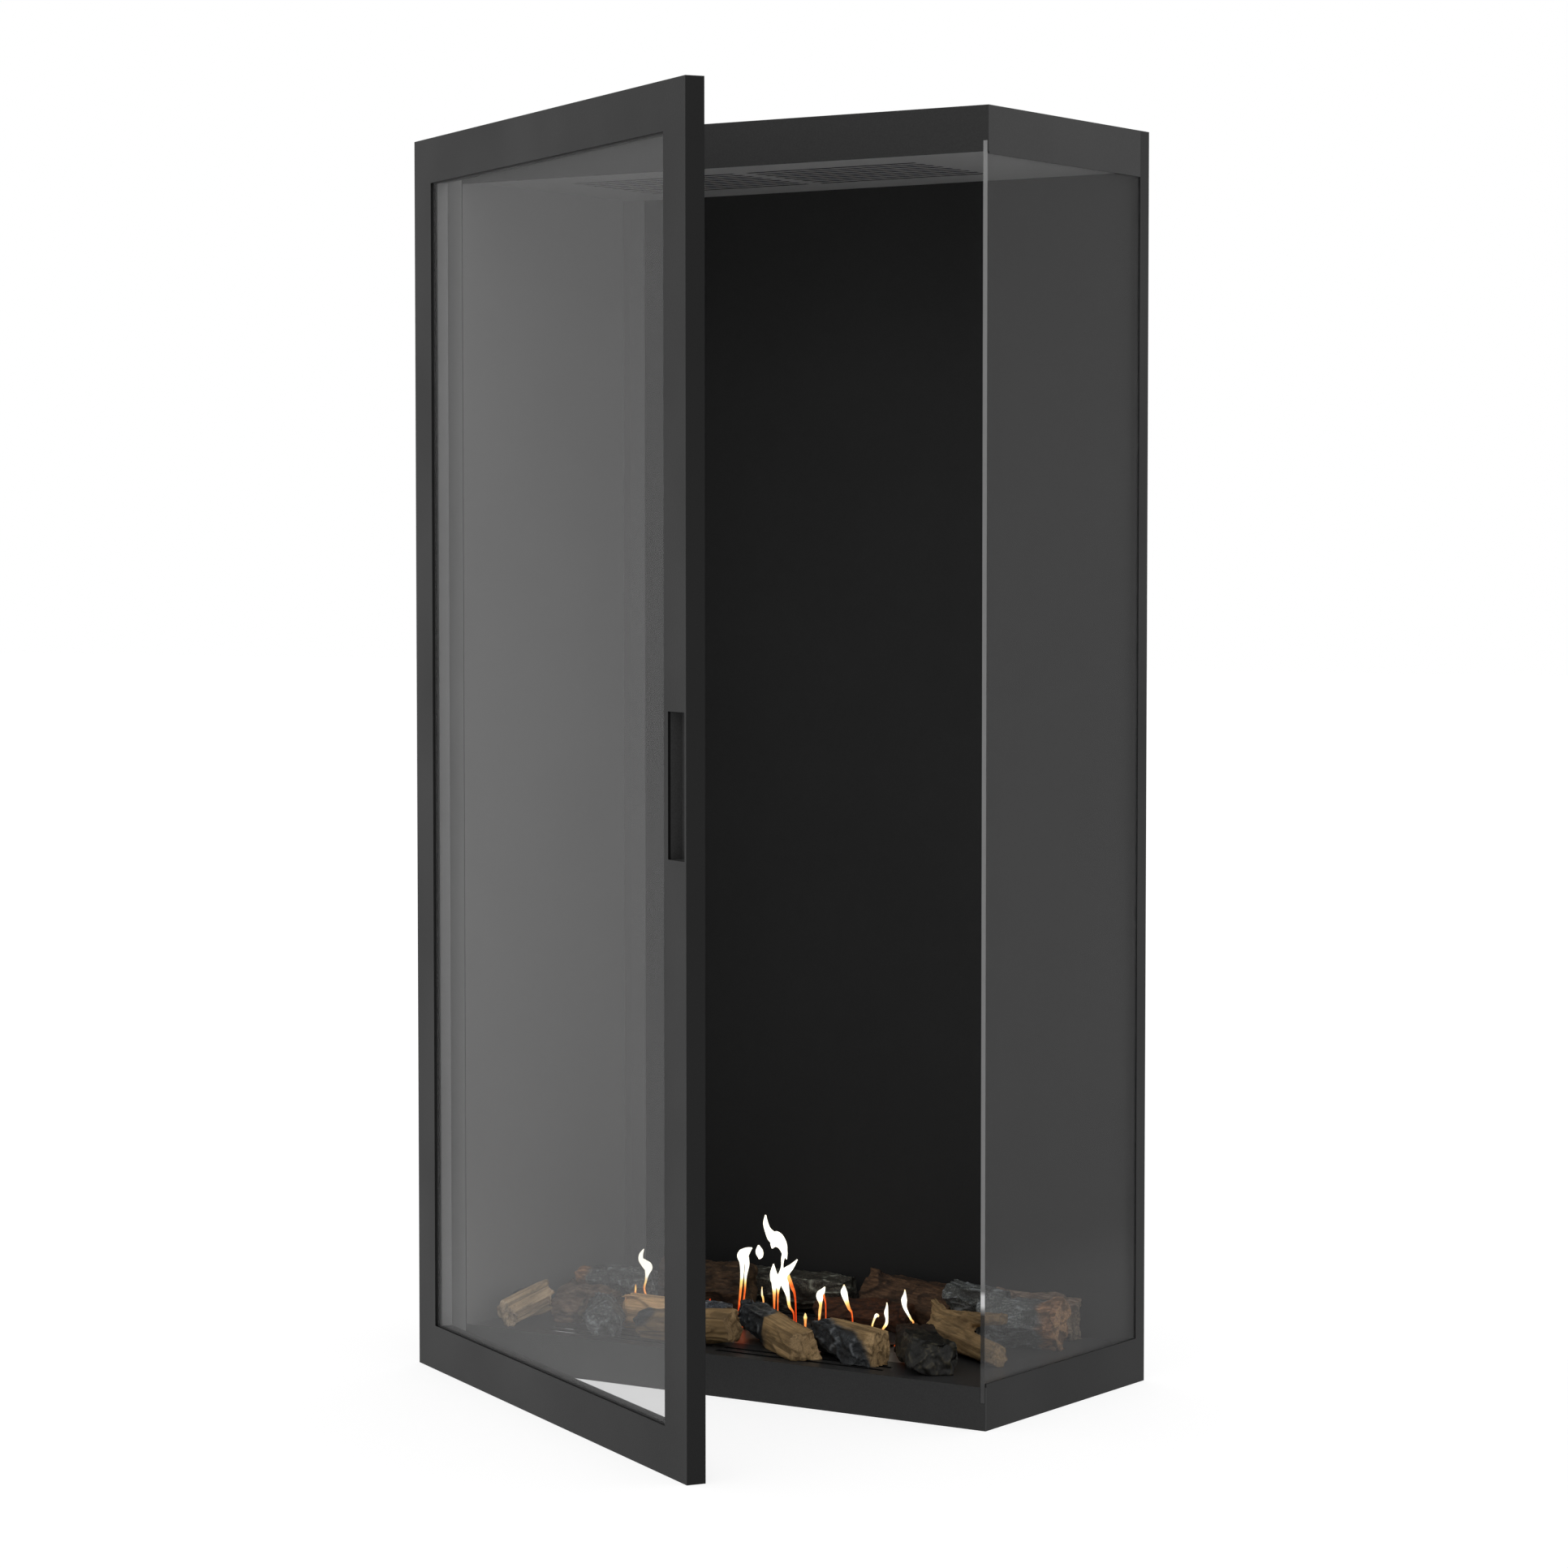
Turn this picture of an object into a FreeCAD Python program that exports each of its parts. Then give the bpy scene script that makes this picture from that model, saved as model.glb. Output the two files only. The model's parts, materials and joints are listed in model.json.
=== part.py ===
import FreeCAD, Part
import Sketcher
import math
import os
import re

# Tall corner bioethanol fireplace: sheet-steel cabinet with a glass right side, a hinged glass door at the
# front, a burner under the slotted floor and loose imitation logs.
# Millimetres. Origin: middle of the cabinet's footprint, on the plane it stands on. X to the viewer's right,
# Y to the rear, Z up. The door is drawn closed and then swung open on its hinge.

# Driving dimensions
SIZES = {
    # Cabinet
    "body_width": 750,
    "body_depth": 350,
    "body_height": 1415,
    "sheet": 1.5,
    "jamb_width": 45,
    "rear_shell_depth": 20,
    "rear_flange": 15,
    "top_rail_height": 49,
    "top_trim_height": 51.5,
    "base_rail_height": 47,
    "base_trim_height": 51,
    "base_flange": 20,
    "floor_height": 45,
    "ceiling_drop": 46,
    "tray_flange": 15,
    "corner_trim_width": 22,
    "corner_trim_return": 14,
    "wall_hole_radius": 4.5,
    "wall_hole_side_inset": 75,
    "wall_hole_end_inset": 107.5,
    # Side pane
    "pane_thick": 5,
    "pane_foot": 30,
    "pane_top_drop": 37.5,
    "pane_gap": 0.3,
    "pane_seal": 2,
    "seal_inset": 1,
    # Slots in the floor and ceiling plates
    "slot_centre_x": -9,
    "slot_length": 223,
    "slot_bridge": 18,
    "slot_width": 8,
    "slot_pitch": 18.9,
    "ceiling_slot_first": 98,
    "ceiling_slot_rows": 9,
    "floor_slot_front": 34,
    "floor_slot_rear": 277,
    "floor_slot_rows": 2,
    "notch_width": 25,
    "notch_depth": 15,
    # Burner
    "burner_centre_y": -5,
    "tank_length": 462,
    "tank_width": 160,
    "tank_depth": 34,
    "tank_flange": 18,
    "cover_lap": 7,
    "cover_gap": 0.5,
    "wool_height": 22,
    "wool_gap": 1,
    "fire_slot_length": 330,
    "fire_slot_width": 24,
    "slider_lap": 5,
    "slider_overhang": 7,
    "slider_gap": 0.3,
    "guide_lip": 6,
    "slider_tongue_width": 20,
    "slider_tongue_length": 16,
    "hook_hole_radius": 3,
    "hook_slot_margin": 2,
    "stud_radius": 2.5,
    "stud_length": 13,
    "stud_spread_y": 120,
    "stud_hole_gap": 0.25,
    "nut_radius": 4.6,
    "nut_height": 4,
    "thread_gap": 0.02,
    # Door
    "door_thick": 21,
    "door_gap": 6,
    "door_open": 30.43,
    "door_plate": 3,
    "door_frame_width": 51,
    "handle_stile_width": 54,
    "door_pane_thick": 5,
    "door_pane_lap": 6,
    "door_pane_gap": 0.5,
    "door_seal": 0.6,
    "door_seal_show": 1.5,
    "bead_setback": 1,
    "pull_width": 40,
    "pull_height": 150,
    "pull_depth": 16,
    "pull_lip": 4,
    "pull_centre_height": 706,
    "magnet_side": 18,
    "magnet_edge": 16,
    "magnet_end": 16,
    "magnet_gap": 0.3,
    # Hinge
    "hinge_inset": 8,
    "hinge_from_back": 4,
    "pin_radius": 3,
    "pin_gap": 0.05,
    "pin_seat_gap": 0.02,
    "tongue_half_width": 6,
    "tongue_thick": 4,
    "tongue_gap": 0.3,
    "tongue_low": 20,
    "tongue_high_drop": 41,
    "notch_reach": 9,
    "notch_clearance": 1,
    "bracket_plate": 3,
    "bracket_rise": 14,
    "bracket_reach": 20,
    "hinge_block_height": 22,
    "hinge_block_reach": 14,
    "hinge_block_back": 3.5,
    # Logs
    "log_thick": 44,
    "log_seat": 6,
}

# Places worked out from the driving dimensions
PLACES = {
    "left": "-body_width / 2",
    "right": "body_width / 2",
    "front": "-body_depth / 2",
    "rear": "body_depth / 2",
    "in_left": "left + jamb_width",
    "in_front": "front + sheet",
    "shell_front": "rear - rear_shell_depth",
    "tray_height": "tray_flange + sheet",
    "floor_foot": "floor_height - tray_height",
    "floor_under": "floor_height - sheet",
    "ceiling": "body_height - ceiling_drop",
    "ceiling_head": "ceiling + tray_height",
    "pane_out": "right - sheet",
    "pane_in": "pane_out - pane_thick",
    "pane_top": "body_height - pane_top_drop",
    "pane_rear": "shell_front - pane_gap",
    "rail_out": "pane_in - pane_seal",
    "plate_right": "rail_out - sheet",
    "slot_left": "slot_centre_x - slot_bridge / 2 - slot_length",
    "slot_right": "slot_centre_x + slot_bridge / 2",
    # Burner
    "tank_half": "tank_length / 2",
    "tank_half_y": "tank_width / 2",
    "tank_inner": "tank_half - sheet",
    "tank_inner_y": "tank_half_y - sheet",
    "tank_foot": "floor_under - tank_depth",
    "cover_half": "tank_half + cover_lap",
    "cover_half_y": "tank_half_y + cover_lap",
    "flange_half": "tank_half + tank_flange",
    "flange_half_y": "tank_half_y + tank_flange",
    "fire_front": "burner_centre_y - fire_slot_width / 2",
    "fire_rear": "burner_centre_y + fire_slot_width / 2",
    "slider_half": "fire_slot_length / 2 + slider_overhang",
    "slider_front": "fire_rear + slider_lap",
    "slider_depth": "fire_slot_width + 2 * slider_lap",
    "slider_rear": "slider_front + slider_depth",
    "slider_travel": "slider_depth",
    "slider_top": "floor_under - slider_gap",
    "slider_foot": "slider_top - sheet",
    "guide_top": "slider_foot - slider_gap",
    "guide_foot": "guide_top - sheet",
    "hook_y": "slider_rear + slider_tongue_length / 2",
    "hook_slot_half": "hook_hole_radius + hook_slot_margin",
    "stud_x": "(cover_half + cover_gap + flange_half) / 2",
    # Door, closed
    "door_back": "front - door_gap",
    "door_face": "door_back - door_thick",
    "door_inner": "door_face + door_plate",
    "open_left": "left + door_frame_width",
    "open_right": "right - handle_stile_width",
    "open_low": "door_frame_width",
    "open_high": "body_height - door_frame_width",
    "dpane_left": "open_left - door_pane_lap",
    "dpane_right": "open_right + door_pane_lap",
    "dpane_low": "open_low - door_pane_lap",
    "dpane_high": "open_high + door_pane_lap",
    "dpane_front": "door_inner + door_seal",
    "dpane_back": "dpane_front + door_pane_thick",
    "web_left": "dpane_left - door_pane_gap",
    "web_right": "dpane_right + door_pane_gap",
    "web_low": "dpane_low - door_pane_gap",
    "web_high": "dpane_high + door_pane_gap",
    "bead_left": "open_left - bead_setback",
    "bead_right": "open_right + bead_setback",
    "bead_low": "open_low - bead_setback",
    "bead_high": "open_high + bead_setback",
    "pull_right": "right - pull_lip",
    "pull_left": "pull_right - pull_width",
    "pull_low": "pull_centre_height - pull_height / 2",
    "pull_high": "pull_centre_height + pull_height / 2",
    "pull_floor": "door_face + pull_depth",
    "magnet_right": "right - sheet - magnet_edge",
    "hinge_x": "left + hinge_inset",
    "hinge_y": "door_back - hinge_from_back",
    "tongue_high": "body_height - tongue_high_drop",
    # Bed of the logs
    "bed_x": "(in_left + plate_right) / 2",
    "bed_half": "(plate_right - in_left) / 2",
    "bed_y": "(in_front + shell_front) / 2",
    "bed_half_y": "(shell_front - in_front) / 2",
}

# How far a cutting solid runs past the face that it opens
OVERRUN = 1

doc = FreeCAD.newDocument("fireplace")
sheet = doc.addObject("Spreadsheet::Sheet", "Sizes")
for row, (alias, number) in enumerate(SIZES.items(), start=1):
    sheet.set(f"A{row}", alias)
    sheet.set(f"B{row}", str(number))
    sheet.setAlias(f"B{row}", alias)
doc.recompute()

parts = []


def bound(expression):
    """Writes out the place names in an expression until only cells of the sheet are left."""

    def replace(match):
        word = match.group(0)
        if word in PLACES:
            return f"({bound(PLACES[word])})"
        if word in SIZES:
            return f"Sizes.{word}"
        return word

    return re.sub(r"[A-Za-z_]+", replace, str(expression))


def value(expression):
    """The number that an expression has now."""
    return float(sheet.evalExpression(bound(expression)))


def bind(obj, **properties):
    for name, expression in properties.items():
        obj.setExpression(name.replace("__", "."), bound(expression))
    return obj


def box(x, y, z):
    """A box between (low, high) pairs of expressions along each axis."""
    solid = doc.addObject("Part::Box", "Box")
    bind(solid, Length=f"({x[1]}) - ({x[0]})", Width=f"({y[1]}) - ({y[0]})", Height=f"({z[1]}) - ({z[0]})")
    return bind(solid, Placement__Base__x=x[0], Placement__Base__y=y[0], Placement__Base__z=z[0])


def upright_cylinder(x, y, z, radius):
    solid = doc.addObject("Part::Cylinder", "Cylinder")
    bind(solid, Radius=radius, Height=f"({z[1]}) - ({z[0]})")
    return bind(solid, Placement__Base__x=x, Placement__Base__y=y, Placement__Base__z=z[0])


def rearward_cylinder(x, y, z, radius):
    solid = doc.addObject("Part::Cylinder", "Cylinder")
    solid.Placement = FreeCAD.Placement(FreeCAD.Vector(), FreeCAD.Rotation(FreeCAD.Vector(1, 0, 0), -90))
    bind(solid, Radius=radius, Height=f"({y[1]}) - ({y[0]})")
    return bind(solid, Placement__Base__x=x, Placement__Base__y=y[0], Placement__Base__z=z)


def fuse(*solids):
    whole = doc.addObject("Part::MultiFuse", "Fuse")
    whole.Shapes = list(solids)
    whole.Refine = True
    return whole


def cut(solid, *tools):
    rest = doc.addObject("Part::Cut", "Cut")
    rest.Base = solid
    rest.Tool = tools[0] if len(tools) == 1 else fuse(*tools)
    return rest


def group(*solids):
    together = doc.addObject("Part::Compound", "Group")
    together.Links = list(solids)
    return together


def keep(label, obj):
    """Names a finished piece of the fireplace."""
    obj.Label = label
    parts.append(obj)
    return obj


def keep_on_door(label, obj):
    """Names a finished piece of the door and swings it open on the hinge."""
    carried = group(obj)
    carried.Placement = FreeCAD.Placement(FreeCAD.Vector(), FreeCAD.Rotation(FreeCAD.Vector(0, 0, -1), 1))
    bind(
        carried,
        Placement__Rotation__Angle="door_open",
        Placement__Base__x="hinge_x - (hinge_x * cos(door_open) + hinge_y * sin(door_open))",
        Placement__Base__y="hinge_y - (hinge_y * cos(door_open) - hinge_x * sin(door_open))",
    )
    return keep(label, carried)


def past(low, high):
    """A (low, high) pair that runs past both ends."""
    return (f"{low} - {OVERRUN}", f"{high} + {OVERRUN}")


# Cabinet walls


def left_casing():
    outer = box(("left", "left + sheet"), ("front", "shell_front"), (0, "body_height"))
    jamb = box(("left + sheet", "in_left"), ("front", "in_front"), (0, "body_height"))
    slots = [
        box(
            ("hinge_x - tongue_half_width - tongue_gap", "hinge_x + tongue_half_width + tongue_gap"),
            past("front", "in_front"),
            (f"{foot} - tongue_gap", f"{foot} + tongue_thick + tongue_gap"),
        )
        for foot in ("tongue_low", "tongue_high")
    ]
    keep("left_casing", cut(fuse(outer, jamb), *slots))


def left_liner():
    liner = box(("in_left - sheet", "in_left"), ("in_front", "shell_front"), ("floor_foot", "ceiling_head"))
    keep("left_liner", liner)


def corner_trim():
    on_back = box(
        ("in_left", "in_left + corner_trim_width"),
        ("shell_front - sheet", "shell_front"),
        ("floor_height", "ceiling"),
    )
    on_liner = box(
        ("in_left", "in_left + sheet"),
        ("shell_front - corner_trim_return", "shell_front - sheet"),
        ("floor_height", "ceiling"),
    )
    keep("corner_trim", fuse(on_back, on_liner))


def rear_shell():
    outer = box(("left", "right"), ("shell_front", "rear"), (0, "body_height"))
    inside_x = ("left + sheet", "right - sheet")
    inside_z = ("sheet", "body_height - sheet")
    panel_seat = box(inside_x, (f"shell_front - {OVERRUN}", "shell_front + sheet"), inside_z)
    cavity = box(inside_x, ("shell_front + 2 * sheet", "rear - sheet"), inside_z)
    window = box(
        ("left + sheet + rear_flange", "right - sheet - rear_flange"),
        ("shell_front", "shell_front + 3 * sheet"),
        ("sheet + rear_flange", "body_height - sheet - rear_flange"),
    )
    holes = [
        rearward_cylinder(
            f"{across} * (body_width / 2 - wall_hole_side_inset)",
            past("rear - sheet", "rear"),
            f"body_height / 2 + {up} * (body_height / 2 - wall_hole_end_inset)",
            "wall_hole_radius",
        )
        for across in (-1, 1)
        for up in (-1, 1)
    ]
    keep("rear_shell", cut(outer, panel_seat, cavity, window, *holes))


def back_panel():
    panel = box(
        ("left + sheet", "right - sheet"),
        ("shell_front", "shell_front + sheet"),
        ("sheet", "body_height - sheet"),
    )
    keep("back_panel", panel)


def top_of_cabinet():
    inside_y = ("in_front", "shell_front")
    plate = box(("left + sheet", "pane_out"), inside_y, ("body_height - sheet", "body_height"))
    keep("top_plate", plate)
    rail = box(("in_left", "right"), ("front", "in_front"), ("body_height - top_rail_height", "body_height"))
    notch = box(
        ("pane_in - pane_gap", "pane_out"),
        past("front", "in_front"),
        (f"body_height - top_rail_height - {OVERRUN}", "pane_top + pane_gap"),
    )
    keep("top_front_rail", cut(rail, notch))
    trim = box(("pane_out", "right"), inside_y, ("body_height - top_trim_height", "body_height"))
    keep("top_side_trim", trim)


def base_of_cabinet():
    face = box(("in_left", "right"), ("front", "in_front"), (0, "base_rail_height"))
    foot = box(("in_left", "pane_out - base_flange"), ("in_front", "in_front + base_flange"), (0, "sheet"))
    notch = box(
        ("pane_in - pane_gap", "pane_out"),
        past("front", "in_front"),
        ("pane_foot - pane_gap", f"base_rail_height + {OVERRUN}"),
    )
    keep("base_front_rail", cut(fuse(face, foot), notch))
    side = box(("pane_out", "right"), ("in_front", "shell_front"), (0, "base_trim_height"))
    side_foot = box(("pane_out - base_flange", "pane_out"), ("in_front", "shell_front"), (0, "sheet"))
    keep("base_side_trim", fuse(side, side_foot))


# Slotted floor and ceiling trays


def origin_plane(body, role):
    return next(feature for feature in body.Origin.OriginFeatures if feature.Role == role)


def rectangles(body, name, spans, lift=0):
    """A sketch of rectangles, each an (x, y) pair of (low, high) expressions, on the body's XY plane."""
    sketch = body.newObject("Sketcher::SketchObject", name)
    sketch.AttachmentSupport = [(origin_plane(body, "XY_Plane"), "")]
    sketch.MapMode = "FlatFace"
    bind(sketch, AttachmentOffset__Base__z=lift)
    for number, (x, y) in enumerate(spans):
        low = FreeCAD.Vector(value(x[0]), value(y[0]), 0)
        high = FreeCAD.Vector(value(x[1]), value(y[1]), 0)
        corners = [low, FreeCAD.Vector(high.x, low.y, 0), high, FreeCAD.Vector(low.x, high.y, 0)]
        first = 4 * number
        for corner in range(4):
            sketch.addGeometry(Part.LineSegment(corners[corner], corners[(corner + 1) % 4]), False)
        for corner in range(4):
            following = first + (corner + 1) % 4
            sketch.addConstraint(Sketcher.Constraint("Coincident", first + corner, 2, following, 1))
            direction = "Vertical" if corner % 2 else "Horizontal"
            sketch.addConstraint(Sketcher.Constraint(direction, first + corner))
        origin = (-1, 1)
        limits = [
            ("DistanceX", first, f"x_low_{number}", x[0], low.x),
            ("DistanceY", first, f"y_low_{number}", y[0], low.y),
            ("DistanceX", first + 2, f"x_high_{number}", x[1], high.x),
            ("DistanceY", first + 2, f"y_high_{number}", y[1], high.y),
        ]
        for kind, line, title, expression, now in limits:
            index = sketch.addConstraint(Sketcher.Constraint(kind, *origin, line, 1, now))
            sketch.renameConstraint(index, title)
            sketch.setExpression(f"Constraints.{title}", bound(expression))
    return sketch


def pocket_up(body, name, spans, depth, lift=0):
    pocket = body.newObject("PartDesign::Pocket", name)
    pocket.Profile = rectangles(body, f"{name}_sketch", spans, lift)
    pocket.Reversed = True
    return bind(pocket, Length=depth)


def tray(label, foot, flanges_down):
    """A folded tray: a plate with flanges on all four sides, turned down or up from it."""
    body = doc.addObject("PartDesign::Body", label)
    bind(body, Placement__Base__z=foot)
    outline = (("in_left", "plate_right"), ("in_front", "shell_front"))
    pad = body.newObject("PartDesign::Pad", f"{label}_block")
    pad.Profile = rectangles(body, f"{label}_outline", [outline])
    bind(pad, Length="tray_height")
    inside = [(("in_left + sheet", "plate_right - sheet"), ("in_front + sheet", "shell_front - sheet"))]
    hollow_foot = 0 if flanges_down else "sheet"
    pocket_up(body, f"{label}_hollow", inside, "tray_flange", hollow_foot)
    return body


def slot_rows(body, label, first, rows):
    """Rows of slots in two groups side by side, counted from the front of the cabinet."""
    y = (f"front + {first} - slot_width / 2", f"front + {first} + slot_width / 2")
    groups = [
        (("slot_left", "slot_left + slot_length"), y),
        (("slot_right", "slot_right + slot_length"), y),
    ]
    pocket = pocket_up(body, f"{label}_slots", groups, "tray_height")
    doc.recompute()
    pattern = body.newObject("PartDesign::LinearPattern", f"{label}_rows")
    pattern.Originals = [pocket]
    pattern.Direction = (pocket.Profile[0], ["V_Axis"])
    bind(pattern, Length=f"({rows} - 1) * slot_pitch", Occurrences=rows)
    body.Tip = pattern


def ceiling_plate():
    body = tray("ceiling_plate", "ceiling", False)
    across = ("plate_right - notch_width", f"plate_right + {OVERRUN}")
    along = ("in_front", "in_front + notch_depth")
    pocket_up(body, "glass_holder_notch", [(across, along)], "sheet")
    slot_rows(body, "vent", "ceiling_slot_first", "ceiling_slot_rows")
    keep("ceiling_plate", body)


def floor_plate():
    body = tray("floor_plate", "floor_foot", True)
    opening = [
        (
            ("slot_centre_x - cover_half - cover_gap", "slot_centre_x + cover_half + cover_gap"),
            ("burner_centre_y - cover_half_y - cover_gap", "burner_centre_y + cover_half_y + cover_gap"),
        )
    ]
    pocket_up(body, "burner_opening", opening, "tray_height")
    slot_rows(body, "front_vent", "floor_slot_front", "floor_slot_rows")
    slot_rows(body, "rear_vent", "floor_slot_rear", "floor_slot_rows")
    keep("floor_plate", body)


# Side pane and what holds it


def side_pane():
    keep("side_glass", box(("pane_in", "pane_out"), ("front", "pane_rear"), ("pane_foot", "pane_top")))
    along = ("in_front", "shell_front")
    low_leg = box(("plate_right", "rail_out"), along, ("pane_foot", "floor_height"))
    low_ledge = box(("plate_right", "pane_out"), along, ("pane_foot - sheet", "pane_foot"))
    keep("glass_rail_bottom", fuse(low_leg, low_ledge))
    high_leg = box(("plate_right", "rail_out"), along, ("ceiling", "ceiling_head"))
    high_ledge = box(("plate_right", "pane_out"), along, ("ceiling_head - sheet", "ceiling_head"))
    keep("glass_rail_top", fuse(high_leg, high_ledge))
    seal_x = ("rail_out", "pane_in")
    seal_y = ("in_front", "pane_rear")
    low_seal = box(seal_x, seal_y, ("pane_foot + seal_inset", "floor_height - seal_inset"))
    high_seal = box(seal_x, seal_y, ("ceiling + seal_inset", "pane_top - seal_inset"))
    keep("glass_seals", group(low_seal, high_seal))


# Burner under the floor plate


def about(centre, half):
    return (f"{centre} - ({half})", f"{centre} + ({half})")


def burner_tank():
    trough = box(
        about("slot_centre_x", "tank_half"),
        about("burner_centre_y", "tank_half_y"),
        ("tank_foot", "floor_under"),
    )
    flange = box(
        about("slot_centre_x", "flange_half"),
        about("burner_centre_y", "flange_half_y"),
        ("floor_under - sheet", "floor_under"),
    )
    inside = box(
        about("slot_centre_x", "tank_inner"),
        about("burner_centre_y", "tank_inner_y"),
        ("tank_foot + sheet", f"floor_under + {OVERRUN}"),
    )
    holes = [
        upright_cylinder(x, y, past("floor_under - sheet", "floor_under"), "stud_radius + stud_hole_gap")
        for x, y in stud_places()
    ]
    keep("burner_tank", cut(fuse(trough, flange), inside, *holes))
    keep(
        "burner_wool",
        box(
            about("slot_centre_x", "tank_inner - wool_gap"),
            about("burner_centre_y", "tank_inner_y - wool_gap"),
            ("tank_foot + sheet", "tank_foot + sheet + wool_height"),
        ),
    )


def stud_places():
    return [
        (f"slot_centre_x + {across} * (stud_x)", f"burner_centre_y + {along} * stud_spread_y / 2")
        for across in (-1, 1)
        for along in (-1, 1)
    ]


def tank_fixings():
    hanging = ("floor_under - stud_length", "floor_under")
    studs = [upright_cylinder(x, y, hanging, "stud_radius") for x, y in stud_places()]
    keep("tank_studs", group(*studs))
    nuts = []
    nut_top = "floor_under - sheet"
    for x, y in stud_places():
        hexagon = doc.addObject("Part::Prism", "Hexagon")
        hexagon.Polygon = 6
        bind(hexagon, Circumradius="nut_radius", Height="nut_height")
        nut_foot = f"{nut_top} - nut_height"
        bind(hexagon, Placement__Base__x=x, Placement__Base__y=y, Placement__Base__z=nut_foot)
        bore = upright_cylinder(x, y, past(nut_foot, nut_top), "stud_radius + thread_gap")
        nuts.append(cut(hexagon, bore))
    keep("tank_nuts", group(*nuts))


def burner_cover():
    plate = box(
        about("slot_centre_x", "cover_half"),
        about("burner_centre_y", "cover_half_y"),
        ("floor_under", "floor_height"),
    )
    through = past("floor_under", "floor_height")
    fire_slot = box(about("slot_centre_x", "fire_slot_length / 2"), ("fire_front", "fire_rear"), through)
    hook_slot = box(
        about("slot_centre_x", "hook_slot_half"),
        ("hook_y - slider_travel - hook_slot_half", "hook_y + hook_slot_half"),
        through,
    )
    keep("burner_cover", cut(plate, fire_slot, hook_slot))


def burner_slider():
    thick = ("slider_foot", "slider_top")
    plate = box(about("slot_centre_x", "slider_half"), ("slider_front", "slider_rear"), thick)
    tongue = box(
        about("slot_centre_x", "slider_tongue_width / 2"),
        ("slider_rear", "slider_rear + slider_tongue_length"),
        thick,
    )
    hole = upright_cylinder("slot_centre_x", "hook_y", past("slider_foot", "slider_top"), "hook_hole_radius")
    keep("burner_slider", cut(fuse(plate, tongue), hole))


def slider_guides():
    along = ("slider_front - slider_travel - slider_lap", "slider_rear + slider_lap")
    guides = []
    for side in (-1, 1):
        edge = f"slot_centre_x + {side} * (slider_half + slider_gap)"
        outside = f"slot_centre_x + {side} * (slider_half + slider_gap + sheet)"
        lip_end = f"slot_centre_x + {side} * (slider_half - guide_lip)"
        web = box((edge, outside)[::side], along, ("guide_foot", "floor_under"))
        lip = box((lip_end, edge)[::side], along, ("guide_foot", "guide_top"))
        guides.append(fuse(web, lip))
    keep("slider_guides", group(*guides))


# Hinge between the cabinet and the door


def hinge(position, foot):
    top = f"{foot} + tongue_thick"
    neck = box(about("hinge_x", "tongue_half_width"), ("hinge_y", "in_front + bracket_plate"), (foot, top))
    nose = upright_cylinder("hinge_x", "hinge_y", (foot, top), "tongue_half_width")
    plate = box(
        ("hinge_x - tongue_half_width", "hinge_x + bracket_reach"),
        ("in_front", "in_front + bracket_plate"),
        (f"{foot} - bracket_rise", f"{top} + bracket_rise"),
    )
    pin_seat = upright_cylinder("hinge_x", "hinge_y", past(foot, top), "pin_radius + pin_seat_gap")
    keep(f"hinge_bracket_{position}", cut(fuse(neck, nose, plate), pin_seat))
    block_foot = f"{top} + tongue_gap"
    block_top = f"{block_foot} + hinge_block_height"
    block = box(
        ("left + sheet", "hinge_x + hinge_block_reach"),
        ("door_inner", "hinge_y + hinge_block_back"),
        (block_foot, block_top),
    )
    bore = upright_cylinder("hinge_x", "hinge_y", past(block_foot, block_top), "pin_radius + pin_gap")
    keep_on_door(f"hinge_block_{position}", cut(block, bore))
    pin_top = f"{top} + hinge_block_height - tongue_gap"
    return upright_cylinder("hinge_x", "hinge_y", (foot, pin_top), "pin_radius")


# Door, drawn closed


def stile(label, outer, outer_in, web_out, web_in, opening, extra_cuts):
    """An upright of the door: front plate, outer edge, ends, and a web beside the glass.

    The places run from the door's edge towards its opening.
    """
    side = 1 if value(opening) > value(outer) else -1
    deep = ("door_inner", f"door_back + {OVERRUN}")
    beyond = f"{opening} + {side * OVERRUN}"
    block = box((outer, opening)[::side], ("door_face", "door_back"), (0, "body_height"))
    hollows = [
        box((outer_in, beyond)[::side], deep, ("sheet", "web_low - sheet")),
        box((outer_in, beyond)[::side], deep, ("web_high + sheet", "body_height - sheet")),
        box((outer_in, web_out)[::side], deep, ("web_low - 2 * sheet", "web_high + 2 * sheet")),
        box((web_in, beyond)[::side], deep, ("web_low - 2 * sheet", "web_high + 2 * sheet")),
    ]
    keep_on_door(label, cut(block, *hollows, *extra_cuts))


def door_stiles():
    tongue_notches = [
        box(
            past("left", "left + sheet"),
            ("hinge_y - notch_reach", f"door_back + {OVERRUN}"),
            (f"{foot} - notch_clearance", f"{foot} + tongue_thick + notch_clearance"),
        )
        for foot in ("tongue_low", "tongue_high")
    ]
    hinge_places = ("left", "left + sheet", "web_left - sheet", "web_left", "open_left")
    stile("door_stile_hinge", *hinge_places, tongue_notches)
    pull_mouth = box(("pull_left", "pull_right"), past("door_face", "door_inner"), ("pull_low", "pull_high"))
    handle_places = ("right", "right - sheet", "web_right + sheet", "web_right", "open_right")
    stile("door_stile_handle", *handle_places, [pull_mouth])


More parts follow.
